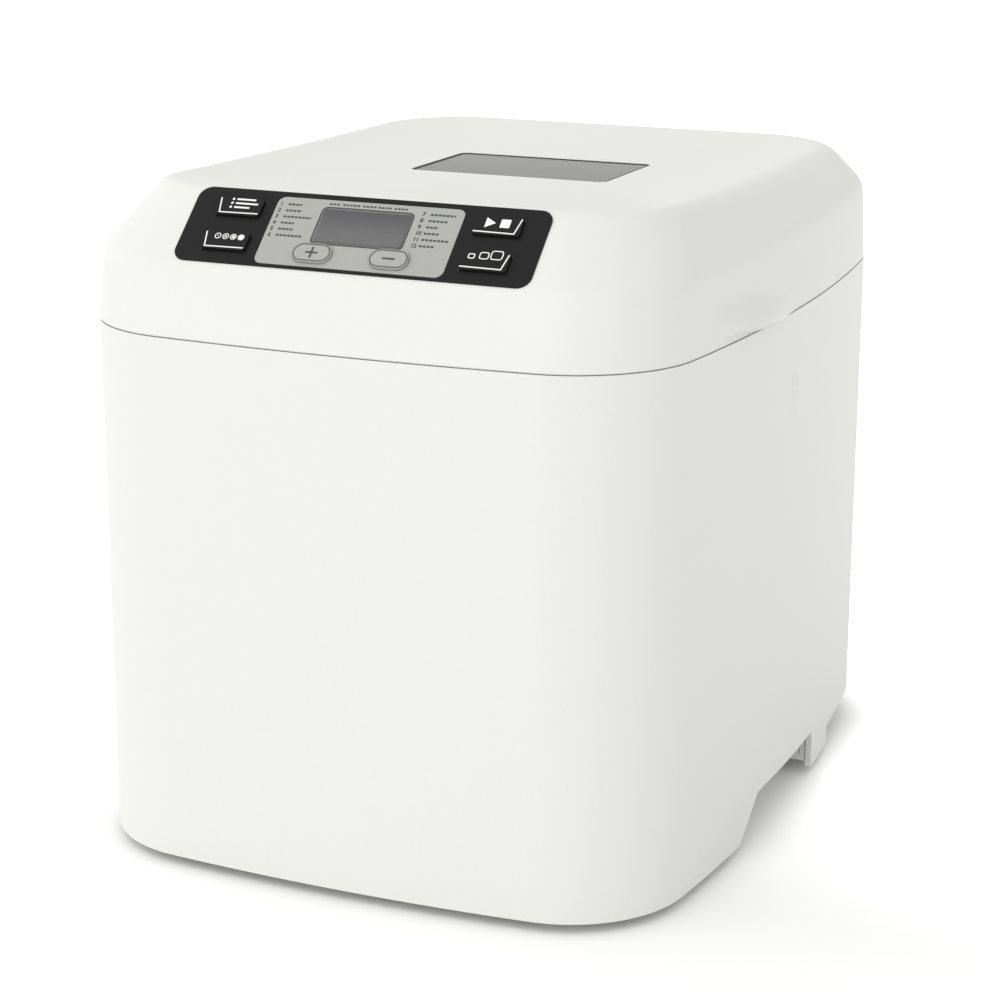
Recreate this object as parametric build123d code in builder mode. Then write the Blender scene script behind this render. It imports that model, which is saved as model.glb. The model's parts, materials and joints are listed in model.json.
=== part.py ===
from build123d import *

import os
from math import atan2, cos, hypot, radians, sin, sqrt, tan

# Bread machine with a hinged lid, a lift-out pan and a belt drive, in millimetres.
# X points right, Y points back and Z points up. The origin is on the table under the middle
# of the machine, and the control panel faces -Y.

os.makedirs("parts", exist_ok=True)

# Outer body
body_width = 245.0
body_depth = 300.0
body_top = 203.0
rim_lift = 4.0
corner_radius = 47.0
side_bow = 6.0
end_bow = 3.0
bottom_taper = 0.5
wall = 2.5
deck = 3.0
seat_gap = 0.4
running_clearance = 0.05
close_clearance = 0.02

# Lid form: a wall up to a crease, a slope up to the rim of the top, and a dished top
lid_gap = 1.0
crease_front_height = 25.4
crease_back_height = 30.6
crease_front_inset = 8.7
crease_inset = 5.5
crease_radius = 40.0
crease_bow = 3.0
slope_run = 26.0
slope_rise = 24.2
top_fall = 3.2
top_side_inset = 20.0
top_back_inset = 17.5
top_radius = 36.0
top_bow = 2.0
crease_fillet = 4.0
side_dip = 3.0
dish_margin = 8.0
dish_floor_width = 104.0
dish_floor_depth = 72.0
dish_floor_round = 26.0
window_height = 245.4
lip_length = 68.0
lip_middle = -38.0
lip_reach = 6.0
lip_height = 7.0

# Hinge
hinge_setback = 4.5
hinge_barrel = 4.2
hinge_pin_radius = 2.0
hinge_air = 0.3
hinge_knuckle = 12.0
lid_knuckle_x = 36.0
body_knuckle_x = 50.0
pin_overhang = 2.0
hinge_pocket = 8.0
notch_margin = 3.0

# Base
foot_height = 6.0
foot_radius = 10.0
foot_stem = 3.0
foot_draft = 1.0
front_foot_inset = 44.5
front_foot_setback = 32.0
back_foot_inset = 34.5
back_foot_setback = 60.0
base_plate = 2.5
skirt_height = 12.0
skirt_wall = 2.0
arch_front = -52.5
arch_back = 36.5
arch_height = 15.5
arch_lead = 18.0
arch_round = 6.0
arch_end_round = 3.0
pocket_depth = 22.0
pocket_margin = 2.4
rear_rim_lift = 9.0
rear_rim_start = 63.0
boss_radius = 5.0
boss_inset = 22.5
boss_front_inset = 50.0
boss_back_inset = 36.0
boss_height = 26.0
rib = 3.0
screw_radius = 2.0
screw_head = 4.0
screw_head_height = 2.0
screw_grip = 12.0

# Vents and cord inlet
vent_height = 170.0
vent_y = -6.5
vent_columns = 4
vent_rows = 3
vent_pitch = 2.1
vent_row_pitch = 6.5
vent_width = 0.9
vent_length = 5.0
inlet_inset = 62.5
inlet_height = 28.0
inlet_radius = 6.0
inlet_bore = 3.6
inlet_flange = 9.0
inlet_length = 6.0
inlet_flange_thickness = 2.0

# Chassis and baking chamber
chassis_post = 19.5
chassis_post_radius = 5.0
chassis_sheet = 2.0
chassis_half_width = 88.0
chassis_round = 20.0
chassis_front_gap = 16.0
chassis_back_gap = 27.0
chassis_screw_inset = 8.0
chassis_screw_front = 35.5
chassis_screw_back = 9.0
chamber_half = 86.0
chamber_round = 17.0
chamber_sheet = 1.0
chamber_back_gap = 24.0
chamber_flange = 7.0
spacer_length = 22.0
spacer_radius = 6.0
spacer_inset = 16.0

# Heating
heater_radius = 3.25
heater_wall_gap = 10.0
heater_lift = 13.0
heater_round = 20.0
heater_end_x = 12.0
heater_end_round = 8.0
heater_end_reach = 7.0
heater_clip_sheet = 1.0
heater_clip_width = 9.0
heater_clip_cap = 1.6
bush_wall = 0.7
bush_flange = 7.0
bush_flange_thickness = 4.0
sensor_radius = 3.9
sensor_height = 67.0
sensor_y = 30.0
sensor_reach = 6.0
sensor_flange = 6.0
fuse_radius = 3.0
fuse_length = 22.0
fuse_height = 97.0

# Drive
belt_centres = 127.0
pulley_air = 4.0
pulley_width = 12.0
driven_radius = 42.0
driver_radius = 8.0
pulley_groove = 1.2
pulley_grooves = 4
belt_thickness = 2.5
belt_air = 0.3
shaft_radius = 4.0
shaft_chamfer = 0.5
shaft_end = 2.0
hub_radius = 9.0
web = 3.0
pulley_rim = 5.0
bearing_radius = 12.0
bearing_height = 20.0
bearing_flange = 22.0
bearing_flange_thickness = 3.0
bush_length = 7.0
coupling_radius = 20.0
coupling_lift = 1.0
coupling_disc = 3.0
lug_height = 5.0
lug_width = 6.0
lug_length = 8.0
wing_length = 36.0
wing_width = 6.0
wing_air = 0.3
coupling_air = 0.5

# Motor
motor_half = 31.0
motor_core = 28.0
motor_bore = 16.5
motor_air = 0.5
motor_bracket = 3.0
motor_post = 13.0
motor_post_radius = 4.0
motor_post_inset = 1.0
winding_inner = 18.0
winding_outer = 27.0
winding_height = 9.0
winding_round = 3.0
fan_radius = 27.0
fan_height = 9.0
fan_blades = 8
fan_blade = 1.6
fan_lift = 3.0
capacitor_x = 68.0
capacitor_radius = 15.0
capacitor_height = 45.0
capacitor_edge = 2.0
tag_spacing = 10.0
tag_width = 4.0
tag_sheet = 0.8
tag_height = 4.0
power_board_x = -64.0
power_board_width = 44.0
power_board_depth = 52.0
board_sheet = 1.6
board_standoff = 10.0
relay_offset = 9.5
relay_width = 15.0
relay_depth = 17.0
relay_height = 11.0
coil_radius = 6.3
coil_height = 19.0
socket_offset = 14.0
socket_width = 22.0
socket_depth = 8.5
socket_height = 9.0
standoff_radius = 3.0
standoff_inset = 4.0

# Pan
pan_half_width = 70.0
pan_half_depth = 58.0
pan_draft = 6.0
pan_height = 100.0
pan_sheet = 1.2
pan_round = 16.0
pan_rim = 2.0
pan_rim_height = 2.0
pan_base_radius = 43.0
pan_base_wall = 3.0
pan_base_height = 23.0
pan_hub_radius = 10.0
pan_hub_height = 11.0
clip_sheet = 1.2
clip_height = 19.0
clip_width = 20.0
clip_foot = 11.0
clip_air = 0.5
handle_wire = 2.2
handle_gap = 4.0
handle_bend = 10.0
handle_headroom = 3.0
ear_radius = 2.5
ear_head = 4.0
ear_head_thickness = 1.6
eye_radius = 5.0
eye_air = 0.6
paddle_hub = 7.5
paddle_height = 22.0
paddle_reach = 34.0
paddle_blade = 3.0
paddle_tip = 7.5
paddle_shoulder = 18.5
paddle_flat = 3.0
paddle_air = 0.6
pan_shaft_top = 16.0

# Lid inside
liner_sheet = 0.8
liner_lift = 1.0
dome_half_width = 86.0
dome_half_depth = 80.0
dome_rise = 33.5
dome_round = 20.0
dome_edge = 5.0
liner_boss_radius = 4.0
liner_boss_inset = 25.5
liner_boss_front = 60.0
liner_boss_back = 55.0
liner_screw_radius = 1.5
liner_screw_head = 3.0
liner_screw_head_height = 1.5
liner_screw_grip = 8.0
seal_width = 4.0
seal_air = 0.3
seal_inset = 2.0
window_width = 84.0
window_depth = 52.6
window_round = 3.5
window_y = 26.0
window_recess = 1.5
window_sink = 0.3
window_ledge = 3.5
gasket_width = 1.0
inner_pane_thickness = 3.0
inner_pane_width = 76.0
inner_pane_depth = 46.0
inner_pane_lap = 5.0

# Control panel, measured along the front slope from its lower crease
panel_width = 138.0
panel_height = 33.2
panel_round = 5.0
panel_middle = 18.1
panel_sink = 1.2
panel_thickness = 1.6
panel_air = 0.2
plate_width = 73.0
plate_height = 29.6
plate_drop = 0.4
plate_round = 3.0
lens_width = 34.0
lens_height = 14.5
lens_rise = 3.05
lens_proud = 0.2
module_margin = 0.7
key_width = 18.0
key_height = 8.0
key_x = 50.3
key_upper = 8.0
key_lower = -7.3
key_round = 1.0
oval_width = 15.0
oval_height = 8.0
oval_x = 14.9
oval_drop = 9.6
key_air = 0.15
key_lip_x = 0.7
key_lip_y = 0.4
key_lip_thickness = 1.0
key_proud = 1.0
key_opening_margin = 1.6
plate_ledge = 8.0
plate_seat = 1.0
control_board_width = 132.0
control_board_height = 28.0
control_board_depth = 7.4
board_post_x = 64.0
board_post_y = 9.0
board_post_radius = 2.2
switch_size = 6.0
switch_height = 3.3
plunger_radius = 1.7
plunger_air = 0.9

ON_FLOOR = (Align.CENTER, Align.CENTER, Align.MIN)
HANGING = (Align.CENTER, Align.CENTER, Align.MAX)
SIDES = (-1, 1)

# Levels and places worked out from the sizes above
half_width = body_width / 2
half_depth = body_depth / 2
inlet_x = inlet_inset - half_width
base_top = foot_height + base_plate
chassis_bottom = base_top + chassis_post
chassis_top = chassis_bottom + chassis_sheet
chassis_front = chassis_front_gap - half_depth
chassis_back = half_depth - chassis_back_gap
chamber_bottom = chassis_top + spacer_length
chamber_floor = chamber_bottom + chamber_sheet
chamber_y = half_depth - chamber_back_gap - chamber_half
flange_top = body_top + chamber_sheet
lid_bottom = body_top + lid_gap
crease_y = crease_front_inset - half_depth
crease_z = lid_bottom + crease_front_height
crease_back_y = half_depth - crease_inset
crease_rise = crease_back_height - crease_front_height
crease_length = hypot(crease_back_y - crease_y, crease_rise)
crease_tilt = atan2(crease_rise, crease_back_y - crease_y)
crest_y = crease_y + slope_run
crest_z = crease_z + slope_rise
top_back_y = half_depth - top_back_inset
top_length = hypot(top_back_y - crest_y, top_fall)
top_tilt = atan2(top_fall, top_back_y - crest_y)
slope_angle = atan2(slope_rise, slope_run)
hinge_y = half_depth - hinge_setback
hinge_z = lid_bottom
notch_y = hinge_y - hinge_barrel - hinge_air
corner_x = half_width - corner_radius - side_bow
corner_y = half_depth - corner_radius - end_bow
notch_half = corner_x + sqrt(corner_radius**2 - (hinge_y - corner_y) ** 2) + notch_margin
motor_y = chamber_y - belt_centres
pulley_bottom = base_top + pulley_air
pan_bottom = chamber_floor + pan_base_height
pan_top = pan_bottom + pan_height
dome_roof = lid_bottom + dome_rise
liner_bottom = lid_bottom + liner_lift
handle_reach = pan_half_depth + pan_rim + handle_gap
handle_pivot = dome_roof - handle_headroom - handle_wire - handle_reach
handle_x = pan_half_width + pan_rim + eye_air + handle_wire

# Planes: the tilted crease and rim of the lid, and the front slope that carries the control panel
crease_plane = Plane(
    origin=(0, (crease_y + crease_back_y) / 2, crease_z + crease_rise / 2),
    x_dir=(1, 0, 0),
    z_dir=(0, -sin(crease_tilt), cos(crease_tilt)),
)
top_plane = Plane(
    origin=(0, (crest_y + top_back_y) / 2, crest_z - top_fall / 2),
    x_dir=(1, 0, 0),
    z_dir=(0, sin(top_tilt), cos(top_tilt)),
)
slope_plane = Plane(
    origin=(
        0,
        crease_y + panel_middle * cos(slope_angle),
        crease_z + panel_middle * sin(slope_angle),
    ),
    x_dir=(1, 0, 0),
    z_dir=(0, -sin(slope_angle), cos(slope_angle)),
)


def outline(plane, half_x, half_y, radius, bow_x, bow_y):
    """Face of a rounded rectangle whose sides bow out by bow_x and whose ends bow out by bow_y."""
    middle_x = half_x - radius - bow_x
    middle_y = half_y - radius - bow_y
    side_turn = 2 * atan2(bow_x, middle_y)
    end_turn = 2 * atan2(bow_y, middle_x)
    corner_turn = (side_turn + radians(90) - end_turn) / 2
    side_end = (middle_x + radius * cos(side_turn), middle_y + radius * sin(side_turn))
    back_end = (middle_x + radius * sin(end_turn), middle_y + radius * cos(end_turn))
    corner = (middle_x + radius * cos(corner_turn), middle_y + radius * sin(corner_turn))

    def span(start, middle, end, bow):
        """Draw one side of the outline, straight where it has no bow."""
        if bow:
            ThreePointArc(start, middle, end)
        else:
            Line(start, end)

    with BuildSketch(plane) as face:
        with BuildLine():
            for sign in SIDES:
                right = [(sign * x, sign * y) for x, y in (side_end, corner, back_end)]
                left = [(-sign * x, sign * y) for x, y in (back_end, corner, side_end)]
                below = (sign * side_end[0], -sign * side_end[1])
                span(below, (sign * half_x, 0), right[0], bow_x)
                ThreePointArc(*right)
                span(right[2], (0, sign * half_y), left[0], bow_y)
                ThreePointArc(*left)
        make_face()
    return face.sketch


def body_outline(z, inset):
    """Outline of the body at height z, moved in from the outer face by inset."""
    lean = bottom_taper * (body_top - z) / (body_top - rim_lift)
    return outline(
        Plane.XY.offset(z),
        half_width - lean - inset,
        half_depth - lean - inset,
        corner_radius - inset,
        side_bow,
        end_bow,
    )


def lid_outlines(inset, crest_inset, drop):
    """The lid's three outlines, at its rim, its lower crease and its top, moved inwards."""
    top_half_x = half_width - top_side_inset - crest_inset
    top_half_y = top_length / 2 - crest_inset
    rim = outline(
        Plane.XY.offset(lid_bottom),
        half_width - inset,
        half_depth - inset,
        corner_radius - inset,
        side_bow,
        end_bow,
    )
    crease = outline(
        crease_plane.offset(-crest_inset),
        half_width - crease_inset - inset,
        crease_length / 2 - inset,
        crease_radius - inset,
        crease_bow,
        0,
    )
    top = outline(top_plane.offset(-drop), top_half_x, top_half_y, top_radius, top_bow, 0)
    return rim, crease, top


def ring_points(half_x, half_y, middle_y):
    """Four corner points at equal distances from the middle plane."""
    return [(x, middle_y + y) for x in (-half_x, half_x) for y in (-half_y, half_y)]


def screw_set(points, underside, radius, head, head_height, grip, upward):
    """Pan-head screws whose heads sit on the face at height underside."""
    turn = 1 if upward else -1
    with BuildPart() as screws:
        for x, y in points:
            with Locations((x, y, underside)):
                Cylinder(radius, grip, align=ON_FLOOR if upward else HANGING)
                Cylinder(head, head_height, align=HANGING if upward else ON_FLOOR)
            with Locations((x, y, underside - turn * head_height)):
                slot_align = ON_FLOOR if upward else HANGING
                Box(head, radius / 2, head_height / 2, align=slot_align, mode=Mode.SUBTRACT)
    return screws.part


def save(part, name):
    """Label a finished piece and write it to its file."""
    part.label = name
    export_step(part, f"parts/{name}.step")


# Places of fasteners and posts
base_screws_at = [
    (side * (half_width - boss_inset), y)
    for side in SIDES
    for y in (boss_front_inset - half_depth, half_depth - boss_back_inset)
]
chassis_screws_at = [
    (side * (chassis_half_width - chassis_screw_inset), y)
    for side in SIDES
    for y in (motor_y + chassis_screw_front, chassis_back - chassis_screw_back)
]
spacers_at = ring_points(chamber_half - spacer_inset, chamber_half - spacer_inset, chamber_y)

# Outer housing: walls and top deck in one moulding, open at the bottom
with BuildPart() as housing_hollow:
    loft([body_outline(rim_lift - 1, wall), body_outline(body_top - deck, wall)], ruled=True)
    with Locations((0, notch_y - wall, hinge_z - hinge_pocket - wall)):
        Box(
            2 * (notch_half + wall),
            half_depth,
            body_top,
            align=(Align.CENTER, Align.MIN, Align.MIN),
            mode=Mode.SUBTRACT,
        )
    for x, y in base_screws_at:
        with Locations((x, y, base_top)):
            Cylinder(boss_radius, boss_height, align=ON_FLOOR, mode=Mode.SUBTRACT)
        side = 1 if x > 0 else -1
        with Locations((x + side * boss_inset / 2, y, foot_height + skirt_height + lid_gap)):
            rib_height = base_top + boss_height - foot_height - skirt_height - lid_gap
            Box(boss_inset, rib, rib_height, align=ON_FLOOR, mode=Mode.SUBTRACT)

with BuildPart() as outer_housing:
    loft([body_outline(rim_lift, 0), body_outline(body_top, 0)], ruled=True)
    with Locations((0, notch_y, hinge_z - hinge_pocket)):
        Box(
            2 * notch_half,
            half_depth,
            body_top,
            align=(Align.CENTER, Align.MIN, Align.MIN),
            mode=Mode.SUBTRACT,
        )
    add(housing_hollow.part, mode=Mode.SUBTRACT)
    # Mouth of the baking chamber in the deck
    with BuildSketch(Plane.XY.offset(body_top)):
        with Locations((0, chamber_y)):
            RectangleRounded(
                2 * (chamber_half + chamber_sheet + seat_gap),
                2 * (chamber_half + chamber_sheet + seat_gap),
                chamber_round + chamber_sheet + seat_gap,
            )
    extrude(amount=-2 * deck, mode=Mode.SUBTRACT)
    # Grip arches in the side walls
    with BuildSketch(Plane.YZ):
        with BuildLine():
            arch_top = rim_lift + arch_height
            arch_points = [
                (arch_front - arch_round, 0),
                (arch_front, rim_lift),
                (arch_front + arch_lead, arch_top),
                (arch_back, arch_top),
                (arch_back, 0),
            ]
            FilletPolyline(*arch_points, radius=[arch_round, arch_round, arch_end_round])
            Line((arch_back, 0), (arch_front - arch_round, 0))
        make_face()
    extrude(amount=body_width, both=True, mode=Mode.SUBTRACT)
    # Raised rim round the back
    with Locations((0, rear_rim_start, 0)):
        Box(
            body_width,
            body_depth,
            2 * (rim_lift + rear_rim_lift),
            align=(Align.CENTER, Align.MIN, Align.CENTER),
            mode=Mode.SUBTRACT,
        )
    # Vent slits in both sides
    with BuildSketch(Plane.YZ):
        with Locations((vent_y, vent_height)):
            with GridLocations(vent_pitch, vent_row_pitch, vent_columns, vent_rows):
                Rectangle(vent_width, vent_length)
    extrude(amount=body_width, both=True, mode=Mode.SUBTRACT)
    # Cord inlet slot, open at the raised rim, and base screw holes
    with Locations((inlet_x, half_depth, inlet_height + inlet_radius)):
        Box(
            2 * inlet_radius,
            6 * wall,
            inlet_height,
            align=(Align.CENTER, Align.CENTER, Align.MAX),
            mode=Mode.SUBTRACT,
        )
    for x, y in base_screws_at:
        with Locations((x, y, base_top)):
            Cylinder(screw_radius + close_clearance, screw_grip, align=ON_FLOOR, mode=Mode.SUBTRACT)
    # Hinge knuckles
    for side in SIDES:
        with Locations((side * body_knuckle_x, notch_y - wall / 2, body_top)):
            Box(
                hinge_knuckle,
                hinge_y - notch_y + wall / 2,
                hinge_barrel + lid_gap,
                align=(Align.CENTER, Align.MIN, Align.MAX),
            )
        with Locations((side * body_knuckle_x, hinge_y, hinge_z)):
            Cylinder(hinge_barrel, hinge_knuckle, rotation=(0, 90, 0))
    with Locations((0, hinge_y, hinge_z)):
        Cylinder(
            hinge_pin_radius + close_clearance,
            2 * notch_half,
            rotation=(0, 90, 0),
            mode=Mode.SUBTRACT,
        )
save(outer_housing.part, "outer_housing")

# Base pan: a tray inside the rim, with a pocket behind each grip arch
pocket_x = half_width - pocket_depth
pocket_end = half_width - bottom_taper - wall - side_bow / 2 - seat_gap
pocket_length = arch_back - arch_front + 2 * pocket_margin
pocket_y = (arch_back + arch_front) / 2
pocket_roof = rim_lift + arch_height + lid_gap
feet_at = [
    (side * (half_width - inset), y)
    for side in SIDES
    for inset, y in (
        (front_foot_inset, front_foot_setback - half_depth),
        (back_foot_inset, half_depth - back_foot_setback),
    )
]
with BuildPart() as base_pan:
    extrude(body_outline(foot_height, wall + seat_gap), amount=skirt_height, dir=(0, 0, 1))
    extrude(
        body_outline(base_top, wall + seat_gap + skirt_wall),
        amount=skirt_height,
        dir=(0, 0, 1),
        mode=Mode.SUBTRACT,
    )
    for side in SIDES:
        with BuildSketch(Plane.XY.offset(foot_height)):
            with Locations((side * (pocket_x + pocket_end) / 2, pocket_y)):
                Rectangle(pocket_end - pocket_x, pocket_length)
        extrude(amount=pocket_roof + skirt_wall - foot_height)
    with BuildSketch(Plane.XY.offset(foot_height)):
        for side in SIDES:
            with Locations((side * (pocket_x + skirt_wall + pocket_depth), pocket_y)):
                Rectangle(2 * pocket_depth, pocket_length - 2 * skirt_wall)
    extrude(amount=pocket_roof - foot_height, mode=Mode.SUBTRACT)
    for x, y in chassis_screws_at:
        with Locations((x, y, base_top)):
            Cylinder(chassis_post_radius, chassis_post, align=ON_FLOOR)
        with Locations((x, y, chassis_bottom)):
            Cylinder(
                screw_radius + close_clearance, screw_grip, align=HANGING, mode=Mode.SUBTRACT
            )
    for x, y in base_screws_at:
        with Locations((x, y, foot_height)):
            Cylinder(screw_radius + close_clearance, base_plate, align=ON_FLOOR, mode=Mode.SUBTRACT)
    for x, y in feet_at:
        with Locations((x, y, foot_height)):
            Cylinder(foot_stem + close_clearance, base_plate, align=ON_FLOOR, mode=Mode.SUBTRACT)
save(base_pan.part, "base_pan")

with BuildPart() as rubber_feet:
    for x, y in feet_at:
        with Locations((x, y, 0)):
            Cone(foot_radius - foot_draft, foot_radius, foot_height, align=ON_FLOOR)
            Cylinder(foot_stem, foot_height + base_plate, align=ON_FLOOR)
save(rubber_feet.part, "rubber_feet")

base_screws = screw_set(
    base_screws_at, foot_height, screw_radius, screw_head, screw_head_height, screw_grip, True
)
save(base_screws, "base_screws")

# Chassis plate on the base pan's posts
board_posts_at = [
    (power_board_x + x, motor_y + y)
    for x, y in ring_points(
        power_board_width / 2 - standoff_inset, power_board_depth / 2 - standoff_inset, 0
    )
]
with BuildPart() as chassis_plate:
    with BuildSketch(Plane.XY.offset(chassis_bottom)):
        with Locations((0, (chassis_front + chassis_back) / 2)):
            RectangleRounded(2 * chassis_half_width, chassis_back - chassis_front, chassis_round)
        with Locations((0, chamber_y), (0, motor_y)):
            Circle(hub_radius, mode=Mode.SUBTRACT)
        with Locations(*chassis_screws_at):
            Circle(screw_radius + running_clearance, mode=Mode.SUBTRACT)
    extrude(amount=chassis_sheet)
    for x, y in board_posts_at:
        with Locations((x, y, chassis_top)):
            Cylinder(standoff_radius, board_standoff, align=ON_FLOOR)
save(chassis_plate.part, "chassis_plate")

chassis_screws = screw_set(
    chassis_screws_at, chassis_top, screw_radius, screw_head, screw_head_height, screw_grip, False
)
save(chassis_screws, "chassis_screws")

with BuildPart() as chamber_spacers:
    for x, y in spacers_at:
        with Locations((x, y, chassis_top)):
            Cylinder(spacer_radius, spacer_length, align=ON_FLOOR)
        with Locations((x, y, chamber_bottom)):
            Cylinder(
                screw_radius + close_clearance, screw_grip, align=HANGING, mode=Mode.SUBTRACT
            )
save(chamber_spacers.part, "chamber_spacers")

chamber_screws = screw_set(
    spacers_at, chamber_floor, screw_radius, screw_head, screw_head_height, screw_grip, False
)
save(chamber_screws, "chamber_screws")

# Baking chamber: a drawn steel box whose flange lies on the deck
heater_z = chamber_floor + heater_lift
heater_half = chamber_half - heater_wall_gap
chamber_front = chamber_y - chamber_half - chamber_sheet
heater_bush_radius = heater_radius + close_clearance + bush_wall
sensor_z = chamber_floor + sensor_height


def chamber_square(z, grow):
    """Rounded square of the chamber's inner wall at height z, grown outwards by grow."""
    with BuildSketch(Plane.XY.offset(z)) as square:
        with Locations((0, chamber_y)):
            RectangleRounded(2 * (chamber_half + grow), 2 * (chamber_half + grow), chamber_round + grow)
    return square.sketch


with BuildPart() as baking_chamber:
    chamber_height = flange_top - chamber_bottom
    extrude(chamber_square(chamber_bottom, chamber_sheet), amount=chamber_height, dir=(0, 0, 1))
    extrude(chamber_square(body_top, chamber_flange), amount=chamber_sheet, dir=(0, 0, 1))
    extrude(
        chamber_square(chamber_floor, 0), amount=flange_top, dir=(0, 0, 1), mode=Mode.SUBTRACT
    )
    with Locations((0, chamber_y, chamber_bottom)):
        Cylinder(hub_radius, chamber_sheet, align=ON_FLOOR, mode=Mode.SUBTRACT)
    for x, y in spacers_at:
        with Locations((x, y, chamber_bottom)):
            Cylinder(
                screw_radius + running_clearance, chamber_sheet, align=ON_FLOOR, mode=Mode.SUBTRACT
            )
    for side in SIDES:
        with Locations((side * heater_end_x, chamber_front, heater_z)):
            Cylinder(
                heater_bush_radius + close_clearance,
                4 * chamber_sheet,
                rotation=(90, 0, 0),
                mode=Mode.SUBTRACT,
            )
    with Locations((chamber_half, chamber_y + sensor_y, sensor_z)):
        Cylinder(
            sensor_radius + close_clearance, 4 * chamber_sheet, rotation=(0, 90, 0), mode=Mode.SUBTRACT
        )
save(baking_chamber.part, "baking_chamber")

# Heating element: one tube bent round the chamber, its ends through the front wall
heater_front = chamber_y - heater_half
heater_back = chamber_y + heater_half
heater_start = chamber_front - heater_end_reach
with BuildPart() as heating_element:
    with BuildLine() as heater_path:
        FilletPolyline(
            (heater_end_x, heater_start, heater_z),
            (heater_end_x, heater_front, heater_z),
            (heater_half, heater_front, heater_z),
            (heater_half, heater_back, heater_z),
            (-heater_half, heater_back, heater_z),
            (-heater_half, heater_front, heater_z),
            (-heater_end_x, heater_front, heater_z),
            (-heater_end_x, heater_start, heater_z),
            radius=[heater_end_round] + 4 * [heater_round] + [heater_end_round],
        )
    with BuildSketch(Plane(origin=(heater_end_x, heater_start, heater_z), z_dir=(0, 1, 0))):
        Circle(heater_radius)
    sweep(path=heater_path.wire())
save(heating_element.part, "heating_element")

with BuildPart() as heater_bushes:
    for side in SIDES:
        with Locations((side * heater_end_x, chamber_front, heater_z)):
            Cylinder(
                heater_bush_radius,
                chamber_sheet + close_clearance,
                rotation=(-90, 0, 0),
                align=ON_FLOOR,
            )
            Cylinder(bush_flange, bush_flange_thickness, rotation=(90, 0, 0), align=ON_FLOOR)
            Cylinder(
                heater_radius + close_clearance,
                4 * bush_flange_thickness,
                rotation=(90, 0, 0),
                mode=Mode.SUBTRACT,
            )
save(heater_bushes.part, "heater_bushes")

heater_clips_at = [
    ((-heater_half, chamber_y), 0),
    ((heater_half, chamber_y), 0),
    ((0, heater_back), 90),
]
with BuildPart() as heater_clips:
    for (x, y), turn in heater_clips_at:
        with Locations(Location((x, y, chamber_floor), (0, 0, turn))):
            Box(
                heater_clip_width,
                heater_clip_sheet,
                heater_lift + heater_radius + heater_clip_cap,
                align=ON_FLOOR,
            )
        with Locations(Location((x, y, heater_z), (0, 0, turn))):
            Cylinder(
                heater_radius + close_clearance,
                2 * heater_clip_sheet,
                rotation=(90, 0, 0),
                mode=Mode.SUBTRACT,
            )
save(heater_clips.part, "heater_clips")

with BuildPart() as temperature_sensor:
    with Locations((chamber_half + chamber_sheet, chamber_y + sensor_y, sensor_z)):
        Cylinder(sensor_radius, sensor_reach + chamber_sheet, rotation=(0, -90, 0), align=ON_FLOOR)
        Cylinder(sensor_flange, sensor_reach, rotation=(0, 90, 0), align=ON_FLOOR)
save(temperature_sensor.part, "temperature_sensor")

with BuildPart() as thermal_fuse:
    with Locations((0, chamber_front, chamber_floor + fuse_height)):
        Box(
            fuse_length,
            2 * chamber_sheet,
            3 * fuse_radius,
            align=(Align.CENTER, Align.MAX, Align.CENTER),
        )
    with Locations((0, chamber_front - fuse_radius, chamber_floor + fuse_height)):
        Cylinder(fuse_radius, fuse_length, rotation=(0, 90, 0))
save(thermal_fuse.part, "thermal_fuse")

with BuildPart() as pan_clips:
    for side in SIDES:
        clip_x = pan_base_radius + clip_air
        with Locations((side * clip_x, chamber_y, chamber_floor)):
            outward = Align.MIN if side > 0 else Align.MAX
            Box(clip_sheet, clip_width, clip_height, align=(outward, Align.CENTER, Align.MIN))
            Box(clip_foot, clip_width, clip_sheet, align=(outward, Align.CENTER, Align.MIN))
save(pan_clips.part, "pan_clips")

# Drive: bearing housing with two bushes, shaft, grooved pulleys and belt
bush_bottoms = (chassis_top, chassis_top + bearing_height - bush_length)
with BuildPart() as bearing_housing:
    with Locations((0, chamber_y, chassis_top)):
        Cylinder(bearing_radius, bearing_height, align=ON_FLOOR)
        Cylinder(bearing_flange, bearing_flange_thickness, align=ON_FLOOR)
        Cylinder(hub_radius, bearing_height, align=ON_FLOOR, mode=Mode.SUBTRACT)
save(bearing_housing.part, "bearing_housing")

with BuildPart() as shaft_bushes:
    for bottom in bush_bottoms:
        with Locations((0, chamber_y, bottom)):
            Cylinder(hub_radius - close_clearance, bush_length, align=ON_FLOOR)
            Cylinder(shaft_radius + running_clearance, bush_length, align=ON_FLOOR, mode=Mode.SUBTRACT)
save(shaft_bushes.part, "shaft_bushes")

coupling_bottom = chamber_floor + coupling_lift
coupling_top = coupling_bottom + coupling_disc
with BuildPart() as main_shaft:
    with Locations((0, chamber_y, pulley_bottom - shaft_end)):
        Cylinder(shaft_radius, coupling_top - pulley_bottom + shaft_end, align=ON_FLOOR)
    chamfer(main_shaft.edges().group_by(Axis.Z)[0], shaft_chamfer)
save(main_shaft.part, "main_shaft")


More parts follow.
